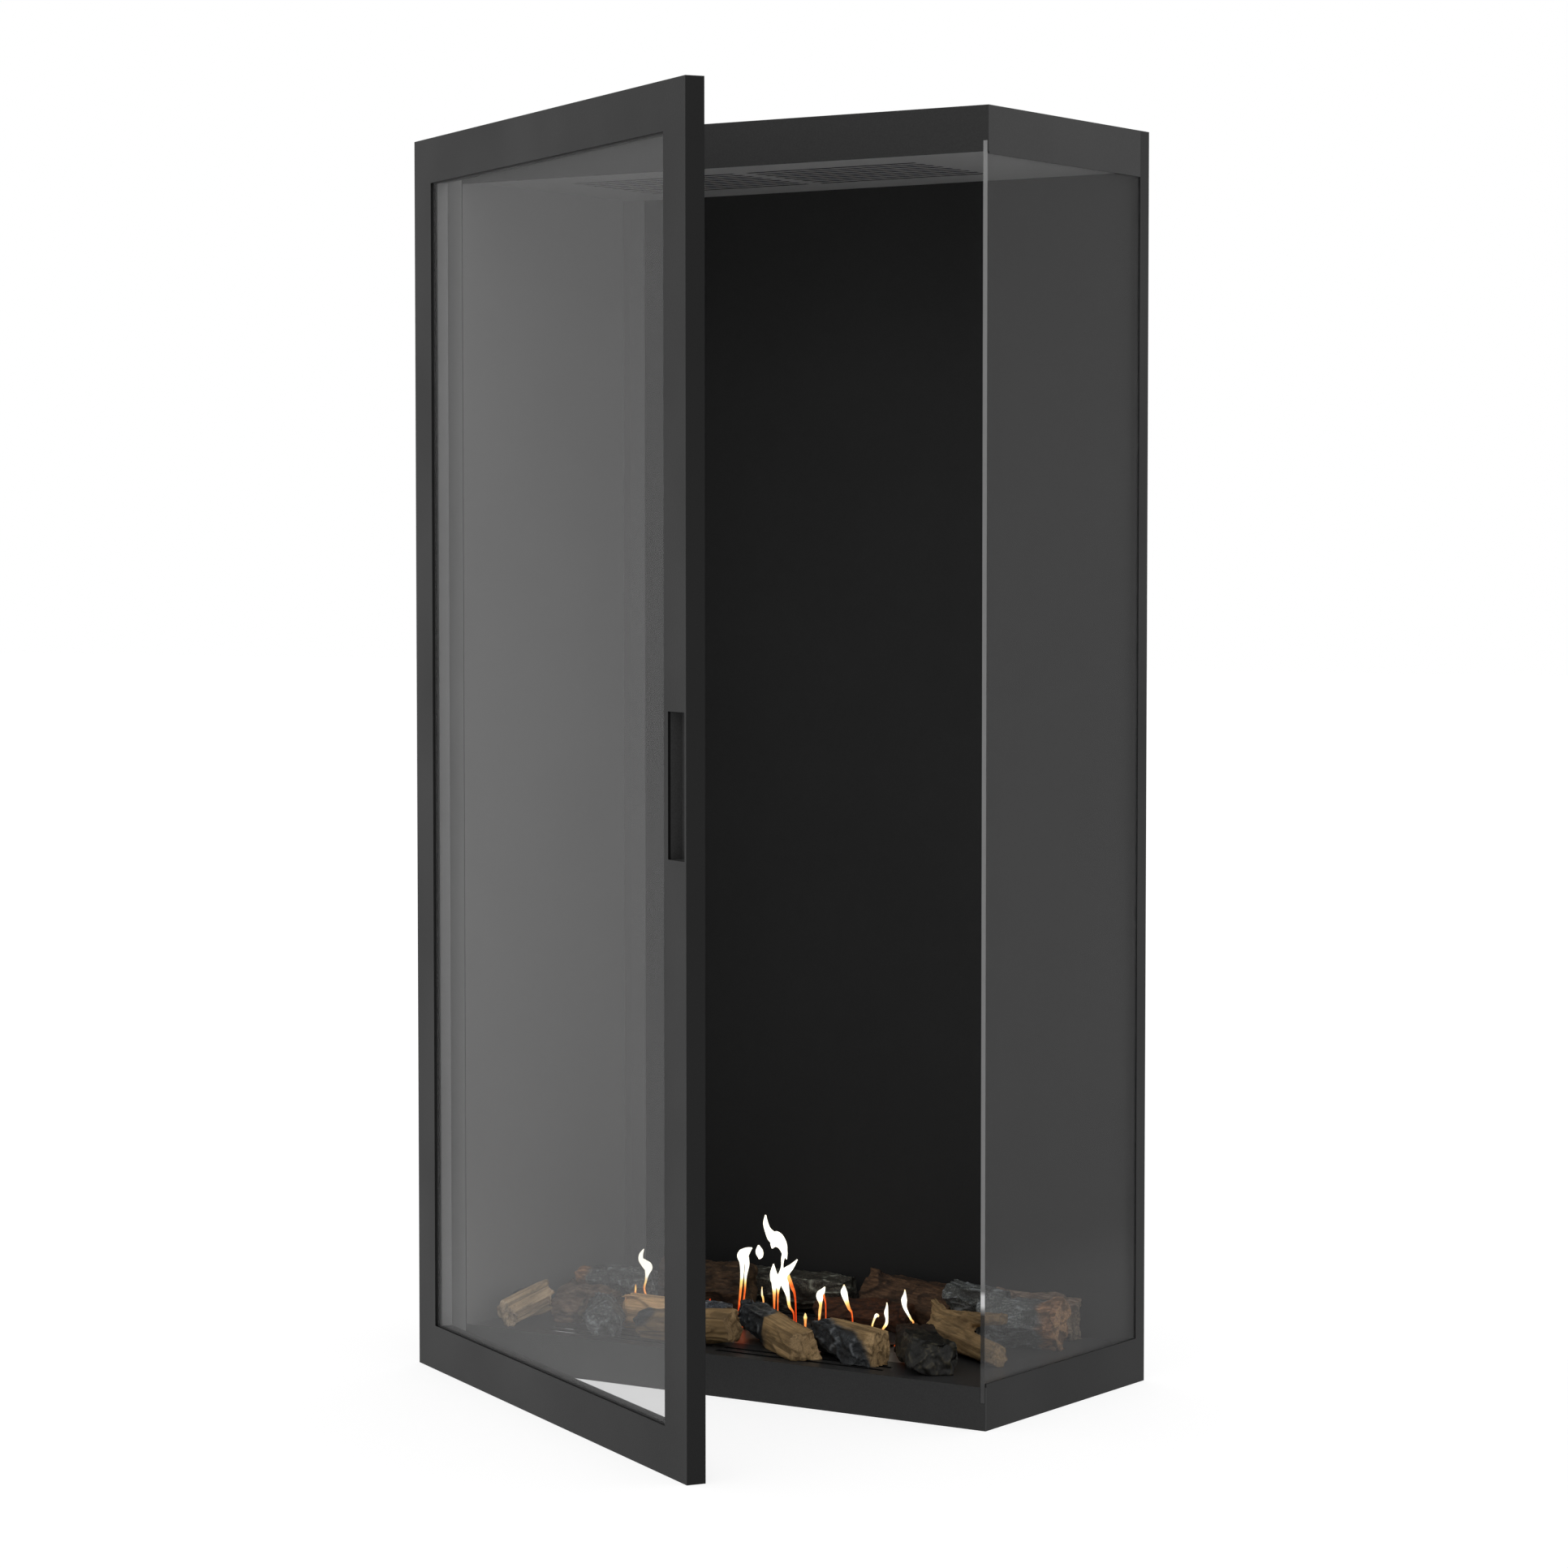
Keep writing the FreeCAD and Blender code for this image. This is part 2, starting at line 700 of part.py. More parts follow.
def door_rails():
    across = ("open_left", "open_right")
    deep = ("door_inner", f"door_back + {OVERRUN}")
    thick = ("door_face", "door_back")
    low = box(across, thick, (0, "open_low"))
    low_hollow = box(past(*across), deep, ("sheet", "web_low - sheet"))
    low_rebate = box(past(*across), deep, ("web_low", f"open_low + {OVERRUN}"))
    keep_on_door("door_rail_bottom", cut(low, low_hollow, low_rebate))
    high = box(across, thick, ("open_high", "body_height"))
    high_hollow = box(past(*across), deep, ("web_high + sheet", "body_height - sheet"))
    high_rebate = box(past(*across), deep, (f"open_high - {OVERRUN}", "web_high"))
    keep_on_door("door_rail_top", cut(high, high_hollow, high_rebate))


def door_glazing():
    across = ("dpane_left", "dpane_right")
    up = ("dpane_low", "dpane_high")
    keep_on_door("door_glass", box(across, ("dpane_front", "dpane_back"), up))
    tape = box(across, ("door_inner", "dpane_front"), up)
    sight = box(
        ("open_left + door_seal_show", "open_right - door_seal_show"),
        past("door_inner", "dpane_front"),
        ("open_low + door_seal_show", "open_high - door_seal_show"),
    )
    keep_on_door("door_glass_seal", cut(tape, sight))
    deep = ("dpane_back", "door_back")
    keep_on_door("door_bead_left", box(("web_left", "bead_left"), deep, ("web_low", "web_high")))
    keep_on_door("door_bead_right", box(("bead_right", "web_right"), deep, ("web_low", "web_high")))
    keep_on_door("door_bead_bottom", box(("bead_left", "bead_right"), deep, ("web_low", "bead_low")))
    keep_on_door("door_bead_top", box(("bead_left", "bead_right"), deep, ("bead_high", "web_high")))


def finger_pull():
    outer = box(
        ("pull_left - sheet", "pull_right + sheet"),
        ("door_inner", "pull_floor + sheet"),
        ("pull_low - sheet", "pull_high + sheet"),
    )
    mouth = f"door_inner - {OVERRUN}"
    hollow = box(("pull_left", "pull_right"), (mouth, "pull_floor"), ("pull_low", "pull_high"))
    keep_on_door("finger_pull", cut(outer, hollow))


def catch_magnets():
    feet = ("magnet_end", "body_height - magnet_end - magnet_side")
    magnets = [
        box(
            ("magnet_right - magnet_side", "magnet_right"),
            ("door_inner", "front - magnet_gap"),
            (foot, f"{foot} + magnet_side"),
        )
        for foot in feet
    ]
    keep_on_door("catch_magnets", group(*magnets))


# Imitation logs


class Log:
    """One log: a faceted, slightly irregular bar from start to end.

    start and end are (across, along, lift): across and along are shares of the bed's half width and half
    depth from its middle, and lift is the height of the log's underside above the floor plate. lift, width
    and height are in log thicknesses; width and height are pairs, at the start and at the end.
    """

    def __init__(self, name, start, end, width, height, seed):
        self.name = name
        self.start = start
        self.end = end
        self.width = width
        self.height = height
        self.seed = seed

    def swell(self, section, side):
        """How far a corner of the section stands out or in, as a share of its radius."""
        coarse = math.sin(COARSE_WAVE.phase(self.seed, side, section))
        fine = math.sin(FINE_WAVE.phase(self.seed, side, section))
        return 1 + COARSE_WAVE.share * coarse + FINE_WAVE.share * fine

    def point(self, section, side):
        along = section / LOG_SECTIONS
        angle = 2 * math.pi * (side + 0.5) / LOG_SIDES
        thick = value("log_thick")
        radius = self.swell(section, side) * thick / 2
        start, end = (on_bed(place) for place in (self.start, self.end))
        heading = math.atan2(end.y - start.y, end.x - start.x)
        middle = start + (end - start) * along
        across = radius * mix(self.width, along) * math.cos(angle)
        height = mix(self.height, along)
        z = middle.z + thick * height / 2 + radius * height * math.sin(angle)
        if z < value("log_seat"):
            z = 0
        return FreeCAD.Vector(middle.x - across * math.sin(heading), middle.y + across * math.cos(heading), z)

    def solid(self):
        sections = range(LOG_SECTIONS + 1)
        rings = [[self.point(section, side) for side in range(LOG_SIDES)] for section in sections]
        triangles = []
        for near, far in zip(rings, rings[1:]):
            for side in range(LOG_SIDES):
                following = (side + 1) % LOG_SIDES
                triangles.append((near[side], near[following], far[following]))
                triangles.append((near[side], far[following], far[side]))
        for ring in (rings[0], rings[-1]):
            middle = sum(ring, FreeCAD.Vector()) * (1 / LOG_SIDES)
            for side in range(LOG_SIDES):
                triangles.append((middle, ring[side], ring[(side + 1) % LOG_SIDES]))
        loops = [Part.makePolygon([*corners, corners[0]]) for corners in triangles if real(corners)]
        faces = [Part.Face(loop) for loop in loops]
        shell = Part.Shell(faces)
        shell.sewShape()
        solid = Part.Solid(shell)
        solid.fix(SEWING_GAP, SEWING_GAP, SEWING_GAP)
        if solid.Volume < 0:
            solid.reverse()
        return solid


def real(corners):
    """Whether three corners make a triangle with an area."""
    first, second, third = corners
    return (second - first).cross(third - first).Length > SMALLEST_AREA


def on_bed(place):
    """A log's end, from the middle of the bed."""
    across, along, lift = place
    return FreeCAD.Vector(across * value("bed_half"), along * value("bed_half_y"), lift * value("log_thick"))


def mix(pair, along):
    return pair[0] + (pair[1] - pair[0]) * along


class Wave:
    """An unevenness of the logs: its share of the radius, and its turn per log, per side and per section."""

    def __init__(self, share, per_log, per_side, per_section):
        self.share = share
        self.per_log = per_log
        self.per_side = per_side
        self.per_section = per_section

    def phase(self, seed, side, section):
        return self.per_log * seed + self.per_side * side + self.per_section * section


LOG_SECTIONS = 4
LOG_SIDES = 9
COARSE_WAVE = Wave(0.12, 1.9, 2.4, 0.8)
FINE_WAVE = Wave(0.07, 3.1, 4.7, -1.7)
SMALLEST_AREA = 1e-6
SEWING_GAP = 1e-4

LOGS = [
    # Lying on the floor plate
    Log("log_front_left", (-0.871, -0.887, 0), (-0.819, -0.534, 0.32), (0.86, 0.73), (0.77, 0.73), 1),
    Log("log_left_wall", (-0.957, -0.632, 0), (-0.940, -0.279, 0), (0.59, 0.64), (0.73, 0.82), 2),
    Log("log_left_red", (-0.876, -0.193, 0), (-0.652, -0.230, 0), (0.82, 0.82), (0.86, 0.82), 3),
    Log("log_left_stub", (-0.813, -0.473, 0), (-0.692, -0.461, 0), (0.59, 0.64), (0.68, 0.64), 4),
    Log("log_left_charred", (-0.502, -0.863, 0), (-0.629, -0.376, 0), (1.18, 1.05), (0.95, 0.86), 5),
    Log("log_left_back", (-0.911, 0.111, 0), (-0.640, 0.172, 0), (0.95, 1.00), (1.14, 1.27), 6),
    Log("log_middle_tan", (-0.531, -0.425, 0), (-0.151, -0.339, 0), (0.95, 0.86), (1.14, 0.86), 7),
    Log("log_rear_brown", (-0.663, 0.428, 0), (-0.335, 0.476, 0), (1.05, 1.00), (1.32, 1.27), 8),
    Log("log_rear_long", (-0.537, 0.781, 0), (-0.019, 0.799, 0.27), (1.00, 0.91), (1.05, 0.82), 9),
    Log("log_front_tan", (-0.387, -0.680, 0), (-0.024, -0.686, 0.14), (0.91, 0.95), (0.77, 0.86), 10),
    Log("log_centre_split", (0.292, -0.796, 0), (-0.085, -0.254, 0.18), (1.05, 0.91), (0.82, 0.86), 11),
    Log("log_centre_red", (-0.024, 0.428, 0), (0.321, 0.489, 0), (0.77, 0.82), (0.64, 0.77), 12),
    Log("log_right_split", (0.263, -0.425, 0), (0.551, -0.717, 0), (1.14, 1.32), (0.95, 1.00), 13),
    Log("log_right_black", (0.563, -0.291, 0.14), (0.776, -0.790, 0), (1.18, 1.55), (0.86, 1.05), 14),
    Log("log_rear_bark", (0.091, 0.744, 0), (0.465, 0.671, 0), (1.23, 1.14), (1.36, 1.05), 15),
    Log("log_right_fork", (0.827, -0.193, 0), (0.494, 0.135, 0.41), (0.91, 0.82), (0.82, 0.73), 16),
    Log("log_corner_bark", (0.522, 0.854, 0), (0.833, 0.878, 0), (0.86, 0.82), (1.23, 1.18), 17),
    Log("log_right_charred", (0.609, 0.403, 0), (0.896, 0.489, 0), (1.00, 1.09), (1.18, 1.27), 18),
    # Lying on other logs
    Log("log_upper_blue", (0.453, 0.525, 0.77), (0.660, 0.586, 0.68), (0.86, 0.82), (0.73, 0.68), 19),
]


def logs():
    """Cuts each log where it meets the logs that lie under it."""
    laid = []
    for log in LOGS:
        shape = log.solid()
        lower = [other for other in laid if other.BoundBox.intersect(shape.BoundBox)]
        if lower:
            shape = max(shape.cut(lower).Solids, key=lambda solid: solid.Volume)
        laid.append(shape)
        piece = doc.addObject("Part::Feature", log.name)
        piece.Shape = shape
        bind(piece, Placement__Base__x="bed_x", Placement__Base__y="bed_y", Placement__Base__z="floor_height")
        keep(log.name, piece)


left_casing()
left_liner()
corner_trim()
rear_shell()
back_panel()
top_of_cabinet()
base_of_cabinet()
ceiling_plate()
floor_plate()
side_pane()
burner_tank()
tank_fixings()
burner_cover()
burner_slider()
slider_guides()
pins = [hinge("bottom", "tongue_low"), hinge("top", "tongue_high")]
keep("hinge_pins", group(*pins))
door_stiles()
door_rails()
door_glazing()
finger_pull()
catch_magnets()
logs()

doc.recompute()

for obj in doc.Objects:
    if {"Invalid", "Error"} & set(obj.State):
        raise RuntimeError(f"{obj.Name} ({obj.Label}) failed: {obj.State}")
for obj in parts:
    if obj.Shape.isNull() or not obj.Shape.isValid():
        raise RuntimeError(f"{obj.Label} has no valid shape")

os.makedirs("parts", exist_ok=True)
for obj in parts:
    obj.Shape.exportStep(f"parts/{obj.Label}.step")
print(len(parts), "pieces written")
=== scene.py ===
"""Looks of a tall corner bioethanol fireplace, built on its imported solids.

Metres, in the solids' own frame: x to the right, y to the rear, z up.
"""

import json
import math

import bmesh
import bpy
import numpy as np
from mathutils import Matrix, Vector, noise


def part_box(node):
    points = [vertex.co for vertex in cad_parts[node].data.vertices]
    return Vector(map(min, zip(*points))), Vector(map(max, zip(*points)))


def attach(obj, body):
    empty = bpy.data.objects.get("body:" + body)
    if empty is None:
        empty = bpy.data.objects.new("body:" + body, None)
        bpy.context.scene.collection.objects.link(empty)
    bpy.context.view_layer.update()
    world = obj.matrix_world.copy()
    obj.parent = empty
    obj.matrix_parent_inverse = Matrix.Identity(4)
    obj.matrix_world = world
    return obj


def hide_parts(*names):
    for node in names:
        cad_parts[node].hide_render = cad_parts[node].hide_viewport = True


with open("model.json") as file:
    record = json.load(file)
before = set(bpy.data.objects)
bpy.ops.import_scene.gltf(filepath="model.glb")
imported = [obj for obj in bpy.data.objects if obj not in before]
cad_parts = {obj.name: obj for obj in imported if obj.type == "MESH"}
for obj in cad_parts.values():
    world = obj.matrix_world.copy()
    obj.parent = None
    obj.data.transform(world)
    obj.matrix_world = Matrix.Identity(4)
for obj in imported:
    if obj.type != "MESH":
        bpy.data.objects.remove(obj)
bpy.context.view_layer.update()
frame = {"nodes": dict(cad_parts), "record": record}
nodes = frame["nodes"]

MM = 0.001
WHITE = (1, 1, 1, 1)
BLACK = (0, 0, 0, 1)

# Camera: about 34 degrees to the right of the front, and looking a little down
CAMERA_PLACE = (2.7304, -4.0952, 0.926)
CAMERA_TURN = math.radians(33.71)
CAMERA_TILT = math.radians(2.884)
LENS_MM = 98.6
SENSOR_MM = 36
VIEW_DEPTH = 200


def camera():
    data = bpy.data.cameras.new("camera")
    data.lens = LENS_MM
    data.sensor_width = SENSOR_MM
    data.clip_end = VIEW_DEPTH
    eye = bpy.data.objects.new("camera", data)
    eye.location = CAMERA_PLACE
    eye.rotation_euler = (math.pi / 2 - CAMERA_TILT, 0, CAMERA_TURN)
    bpy.context.scene.collection.objects.link(eye)
    bpy.context.scene.camera = eye


# Node trees

# Where most values of a noise texture lie
NOISE_LOW = 0.3
NOISE_HIGH = 0.7


def grey(level):
    return (level, level, level)


def opaque(colour):
    return (*colour, 1)


class Tree:
    """A node tree with short calls to add to it."""

    def __init__(self, tree):
        self.tree = tree
        tree.nodes.clear()

    def node(self, kind, inputs=None, **settings):
        made = self.tree.nodes.new("ShaderNode" + kind)
        for name, setting in settings.items():
            setattr(made, name, setting)
        for socket, given in (inputs or {}).items():
            self.give(made.inputs[socket], given)
        return made

    def give(self, socket, given):
        if isinstance(given, bpy.types.NodeSocket):
            self.tree.links.new(given, socket)
        else:
            socket.default_value = given

    def noise(self, where, scale, detail=2.0, roughness=0.5):
        inputs = {"Vector": where, "Scale": scale, "Detail": detail, "Roughness": roughness}
        return self.node("TexNoise", inputs).outputs[0]

    def stretched(self, where, scale):
        return self.node("Mapping", {"Vector": where, "Scale": scale}).outputs[0]

    def ramp(self, factor, stops):
        """Colours at places from 0 to 1."""
        made = self.node("ValToRGB", {"Fac": factor})
        elements = made.color_ramp.elements
        while len(elements) < len(stops):
            elements.new(0.5)
        for element, (place, colour) in zip(elements, stops):
            element.position = place
            element.color = opaque(colour)
        return made.outputs["Color"]

    def greys(self, factor, stops):
        return self.ramp(factor, [(place, grey(level)) for place, level in stops])

    def tones(self, texture, dark, light):
        """Two colours, over most values of a noise texture."""
        return self.ramp(texture, [(NOISE_LOW, dark), (NOISE_HIGH, light)])

    def range(self, factor, low, high, start=0.0, end=1.0):
        """factor from start to end, as a number from low to high."""
        inputs = {"Value": factor, "From Min": start, "From Max": end, "To Min": low, "To Max": high}
        return self.node("MapRange", inputs).outputs[0]

    def spread(self, texture, low, high):
        """A number from low to high, over most values of a noise texture."""
        return self.range(texture, low, high, NOISE_LOW, NOISE_HIGH)

    def math(self, operation, first, second):
        made = self.node("Math", operation=operation)
        self.give(made.inputs[0], first)
        self.give(made.inputs[1], second)
        return made.outputs[0]

    def mix(self, factor, first, second, blend="MIX"):
        made = self.node("Mix", data_type="RGBA", blend_type=blend)
        self.give(made.inputs["Factor"], factor)
        self.give(made.inputs[6], first)
        self.give(made.inputs[7], second)
        return made.outputs[2]

    def bump(self, height, strength, distance):
        inputs = {"Height": height, "Strength": strength, "Distance": distance}
        return self.node("Bump", inputs).outputs[0]

    def attribute(self, name, output):
        return self.node("Attribute", attribute_name=name).outputs[output]


class Material(Tree):
    def __init__(self, name):
        self.material = bpy.data.materials.new(name)
        self.material.use_nodes = True
        self.material.cycles.emission_sampling = "NONE"
        super().__init__(self.material.node_tree)
        spot = self.node("TexCoord").outputs
        self.place = spot["Object"]
        self.normal = spot["Normal"]

    def surface(self, **inputs):
        """Ends the tree in a Principled surface; an input's name has _ for each space."""
        named = {name.replace("_", " "): given for name, given in inputs.items()}
        shader = self.node("BsdfPrincipled", named)
        self.node("OutputMaterial", {"Surface": shader.outputs[0]})
        return self.material


# Surround: the floor's glow and shade are what is seen of it, and its bounce is the light it sends up

FLOOR_SIZE = 60
FLOOR_GLOW = 0.8
FLOOR_SHADE = 0.3
FLOOR_BOUNCE = 0.95
FLOOR_ROUGHNESS = 0.9
WORLD_LIGHT = 0.85


def seen_rays(tree):
    """1 for the rays that show the surround: from the camera, and through or off glass and metal."""
    path = tree.node("LightPath").outputs
    seen = tree.math("MAXIMUM", path["Is Camera Ray"], path["Is Glossy Ray"])
    return tree.math("MAXIMUM", seen, path["Is Transmission Ray"])


def painted_shadow_under_floor_plate(made):
    """1 on the ground under the firebox's floor plate, where no light falls and the floor's glow is cut out
    as a painted shadow, and 0 elsewhere.
    """
    spot = made.node("SeparateXYZ", {"Vector": made.place}).outputs
    low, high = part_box("floor_plate")
    middle = (low + high) / 2
    half = (high - low) / 2
    inside = made.node("Math", {0: spot["X"], 1: middle.x, 2: half.x}, operation="COMPARE")
    between = made.node("Math", {0: spot["Y"], 1: middle.y, 2: half.y}, operation="COMPARE")
    return made.math("MULTIPLY", inside.outputs[0], between.outputs[0])


def surround():
    world = bpy.data.worlds.new("surround")
    world.use_nodes = True
    bpy.context.scene.world = world
    sky = Tree(world.node_tree)
    strength = sky.range(seen_rays(sky), WORLD_LIGHT, 1.0)
    shader = sky.node("Background", {"Color": WHITE, "Strength": strength})
    sky.node("OutputWorld", {"Surface": shader.outputs[0]})

    half = FLOOR_SIZE / 2
    corners = [(-half, -half, 0), (half, -half, 0), (half, half, 0), (-half, half, 0)]
    mesh = bpy.data.meshes.new("floor")
    mesh.from_pydata(corners, [], [range(len(corners))])
    floor = bpy.data.objects.new("floor", mesh)
    bpy.context.scene.collection.objects.link(floor)
    made = Material("floor")
    seen = seen_rays(made)
    # Painted shadow: the glow that the floor shows is taken away under the floor plate
    glow = made.math("SUBTRACT", seen, painted_shadow_under_floor_plate(made))
    mesh.materials.append(
        made.surface(
            Base_Color=made.mix(seen, opaque(grey(FLOOR_BOUNCE)), opaque(grey(FLOOR_SHADE))),
            Roughness=FLOOR_ROUGHNESS,
            Specular_IOR_Level=0.0,
            Emission_Color=WHITE,
            Emission_Strength=made.range(glow, 0.0, FLOOR_GLOW),
        )
    )


# Finishes. The scale of a noise is in waves a metre

PAINT_GRAIN = 700
PAINT_MOTTLE = 5
PAINT_MOTTLE_DARK = 0.93
PAINT_ROUGHNESS_SPREAD = 0.04
PAINT_RELIEF = 0.3 * MM
FACING_LIMIT = 0.5

PANE_SMEAR = 9
PANE_SMEAR_DARK = 0.97
PANE_ROUGHNESS = 0.35
EDGE_COVER = 0.85

STEEL_LINES = (6, 900, 900)
STEEL_DARK = 0.85
STEEL_ROUGHNESS = (0.28, 0.42)
STEEL_BUMP = 0.08
STEEL_RELIEF = 0.1 * MM

RUBBER_GRAIN = 900
RUBBER_DARK = 0.7
RUBBER_LIGHT = 1.2
RUBBER_ROUGHNESS = 0.75
RUBBER_BUMP = 0.1
RUBBER_RELIEF = 0.2 * MM

WOOL_FIBRES = 500
WOOL_DARK = (0.45, 0.43, 0.38)
WOOL_LIGHT = (0.85, 0.84, 0.8)
WOOL_ROUGHNESS = 0.95
WOOL_BUMP = 0.8
WOOL_RELIEF = 2 * MM

# How strong a pane's veil is, stronger near its foot as painted light, and the grey of a bare edge, pale
# with a white painted glint, at heights from 0, its foot, to 1, its top
SIDE_VEIL_PAINTED_LIGHT = [(0.0, 1.7), (0.08, 1.5), (0.12, 1.0)]
DOOR_VEIL_PAINTED_LIGHT = [(0.0, 1.6), (0.06, 1.4), (0.1, 1.2), (0.15, 1.05), (0.5, 1.0)]
EDGE_PAINTED_LIGHT = [
    (0.03, 0.045),
    (0.032, 0.003),
    (0.073, 0.003),
    (0.077, 1.0),
    (0.086, 1.0),
    (0.088, 0.2),
    (0.1, 0.29),
]
EDGE_DEPTH = 0.3 * MM
GLASS_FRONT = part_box("side_glass")[0].y + EDGE_DEPTH

FRONT, UP, DOWN = (0, -1, 0), (0, 0, 1), (0, 0, -1)


def powder_coat(name, level, roughness, specular, grain=0.2, bump=0.2, facing=None, facing_painted_grey=0.0):
    """Matt paint: a fine grain in colour and height, and a faint broad mottling.

    The faces that look in the direction facing, where that is given, have a grey of their own, as painted
    light or painted shade.
    """
    made = Material(name)
    speckle = made.noise(made.place, PAINT_GRAIN, detail=3)
    broad = made.noise(made.place, PAINT_MOTTLE)
    colour = made.tones(speckle, grey(level * (1 - grain)), grey(level * (1 + grain)))
    # Painted light or shade: faces that look one way get their own grey
    if facing:
        towards = made.node("VectorMath", {0: made.normal, 1: facing}, operation="DOT_PRODUCT")
        painted_facing = made.math("GREATER_THAN", towards.outputs["Value"], FACING_LIMIT)
        colour = made.mix(painted_facing, colour, opaque(grey(facing_painted_grey)))
    mottle = made.tones(broad, grey(PAINT_MOTTLE_DARK), grey(1.0))
    smoother, rougher = roughness - PAINT_ROUGHNESS_SPREAD, roughness + PAINT_ROUGHNESS_SPREAD
    return made.surface(
        Base_Color=made.mix(1.0, colour, mottle, "MULTIPLY"),
        Roughness=made.spread(broad, smoother, rougher),
        Specular_IOR_Level=specular,
        Normal=made.bump(speckle, bump, PAINT_RELIEF),
    )


def pane(name, veil_grey, cover, rise, bare_edge=None):
    """One face of a clear pane: lets through all but the share cover, which is a thin grey veil, a painted
    reflection of the bright surround.

    rise gives how strong the veil is at heights on the pane, stronger near its foot as painted light.
    bare_edge is how far forward an edge lies that
    no rail hides: it lets little through, and is painted pale, with a painted glint near its foot.
    """
    made = Material(name)
    smear = made.noise(made.place, PANE_SMEAR)
    spot = made.node("SeparateXYZ", {"Vector": made.place}).outputs
    low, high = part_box(name)
    height = made.range(spot["Z"], 0.0, 1.0, low.z, high.z)
    # Painted reflection: the pane's grey veil stands in for its reflection of the bright surround
    colour = made.tones(smear, grey(veil_grey * PANE_SMEAR_DARK), grey(veil_grey))
    # Painted light: the veil is made stronger near the pane's foot
    colour = made.mix(1.0, colour, made.greys(height, rise), "MULTIPLY")
    if bare_edge:
        # Painted light: a bare edge is pale, with a white painted glint near its foot
        edge = made.math("LESS_THAN", spot["Y"], bare_edge)
        colour = made.mix(edge, colour, made.greys(height, EDGE_PAINTED_LIGHT))
        cover = made.range(edge, cover, EDGE_COVER)
    return made.surface(Base_Color=colour, Roughness=PANE_ROUGHNESS, Alpha=cover)


def brushed_steel(name, level):
    made = Material(name)
    lines = made.noise(made.stretched(made.place, STEEL_LINES), 1, detail=3)
    return made.surface(
        Base_Color=made.tones(lines, grey(level * STEEL_DARK), grey(level)),
        Metallic=1.0,
        Roughness=made.spread(lines, *STEEL_ROUGHNESS),
        Normal=made.bump(lines, STEEL_BUMP, STEEL_RELIEF),
    )


def rubber(name, level):
    made = Material(name)
    speckle = made.noise(made.place, RUBBER_GRAIN)
    return made.surface(
        Base_Color=made.tones(speckle, grey(level * RUBBER_DARK), grey(level * RUBBER_LIGHT)),
        Roughness=RUBBER_ROUGHNESS,
        Normal=made.bump(speckle, RUBBER_BUMP, RUBBER_RELIEF),
    )


def wool(name):
    made = Material(name)
    fibres = made.noise(made.place, WOOL_FIBRES, detail=6, roughness=0.7)
    return made.surface(
        Base_Color=made.tones(fibres, WOOL_DARK, WOOL_LIGHT),
        Roughness=WOOL_ROUGHNESS,
        Normal=made.bump(fibres, WOOL_BUMP, WOOL_RELIEF),
    )


# Each material slot's finish. A powder coat has its grey, roughness and specular level, in this order,
# and a pane the grey of its veil, a painted reflection, and the share that it covers
FINISHES = {
    "cabinet_paint": powder_coat("cabinet_paint", 0.018, 0.55, 0.32),
    "door_paint": powder_coat("door_paint", 0.004, 0.5, 0.2, bump=0.5),
    # Painted reflection: the satin black liner is painted a pale grey in place of its sheen of the bright
    # surround
    "liner_paint": powder_coat("liner_paint", 0.265, 0.4, 0.3, grain=0.04, bump=0.02),
    "back_paint": powder_coat("back_paint", 0.03, 0.9, 0.02, grain=0.04, bump=0.0),
    # Painted light and shade: the ceiling's underside is pale for the light it gets from below, and its slot
    # walls and top are near black for shade in the slots
    "ceiling_paint": powder_coat(
        "ceiling_paint", 0.006, 0.4, 0.3, grain=0.05, bump=0.02, facing=DOWN, facing_painted_grey=0.32
    ),
    # Painted shade: the floor plate's slot walls and underside are darker than its top
    "floor_paint": powder_coat(
        "floor_paint", 0.01, 0.35, 0.13, grain=0.1, bump=0.04, facing=UP, facing_painted_grey=0.037
    ),
    "hinge_paint": powder_coat("hinge_paint", 0.02, 0.5, 0.4),
    "magnet": powder_coat("magnet", 0.08, 0.45, 0.5),
    # Painted reflection: each pane's grey veil stands in for its reflection of the bright surround
    "side_glass": pane("side_glass", 0.08, 0.194, SIDE_VEIL_PAINTED_LIGHT, GLASS_FRONT),
    "door_glass": pane("door_glass", 0.172, 0.22, DOOR_VEIL_PAINTED_LIGHT),
    "seal": rubber("seal", 0.02),
    "burner_steel": brushed_steel("burner_steel", 0.42),
    "fixing_steel": brushed_steel("fixing_steel", 0.5),
    "wool": wool("wool"),
}

# The nodes whose finish isn't their slot's
# Painted shade: a darker copy of the cabinet paint, for the base's side trim and the rear shell
PAINTED_SHADE_COAT = powder_coat("cabinet_paint_painted_shade", 0.009, 0.55, 0.2)
NODE_FINISHES = {
    # Painted light: the casing's front-facing jamb is pale grey, though it is folded from the same black
    # sheet
    "left_casing": powder_coat("casing_paint_painted_light_front", 0.018, 0.55, 0.32, facing=FRONT, facing_painted_grey=0.42),
    # Painted light: the pull recess is painted lighter than the door's paint, against the shade in the
    # recess
    "finger_pull": powder_coat("pull_paint_painted_light", 0.055, 0.5, 0.36),
    "corner_trim": powder_coat("trim_paint", 0.21, 0.4, 0.3, grain=0.04, bump=0.02),
    "base_side_trim": PAINTED_SHADE_COAT,
    "rear_shell": PAINTED_SHADE_COAT,
    # Painted light: only the hinge-side bead is pale grey
    "door_bead_left": powder_coat("bead_painted_light", 0.25, 0.5, 0.2, grain=0.06, bump=0.04),
}


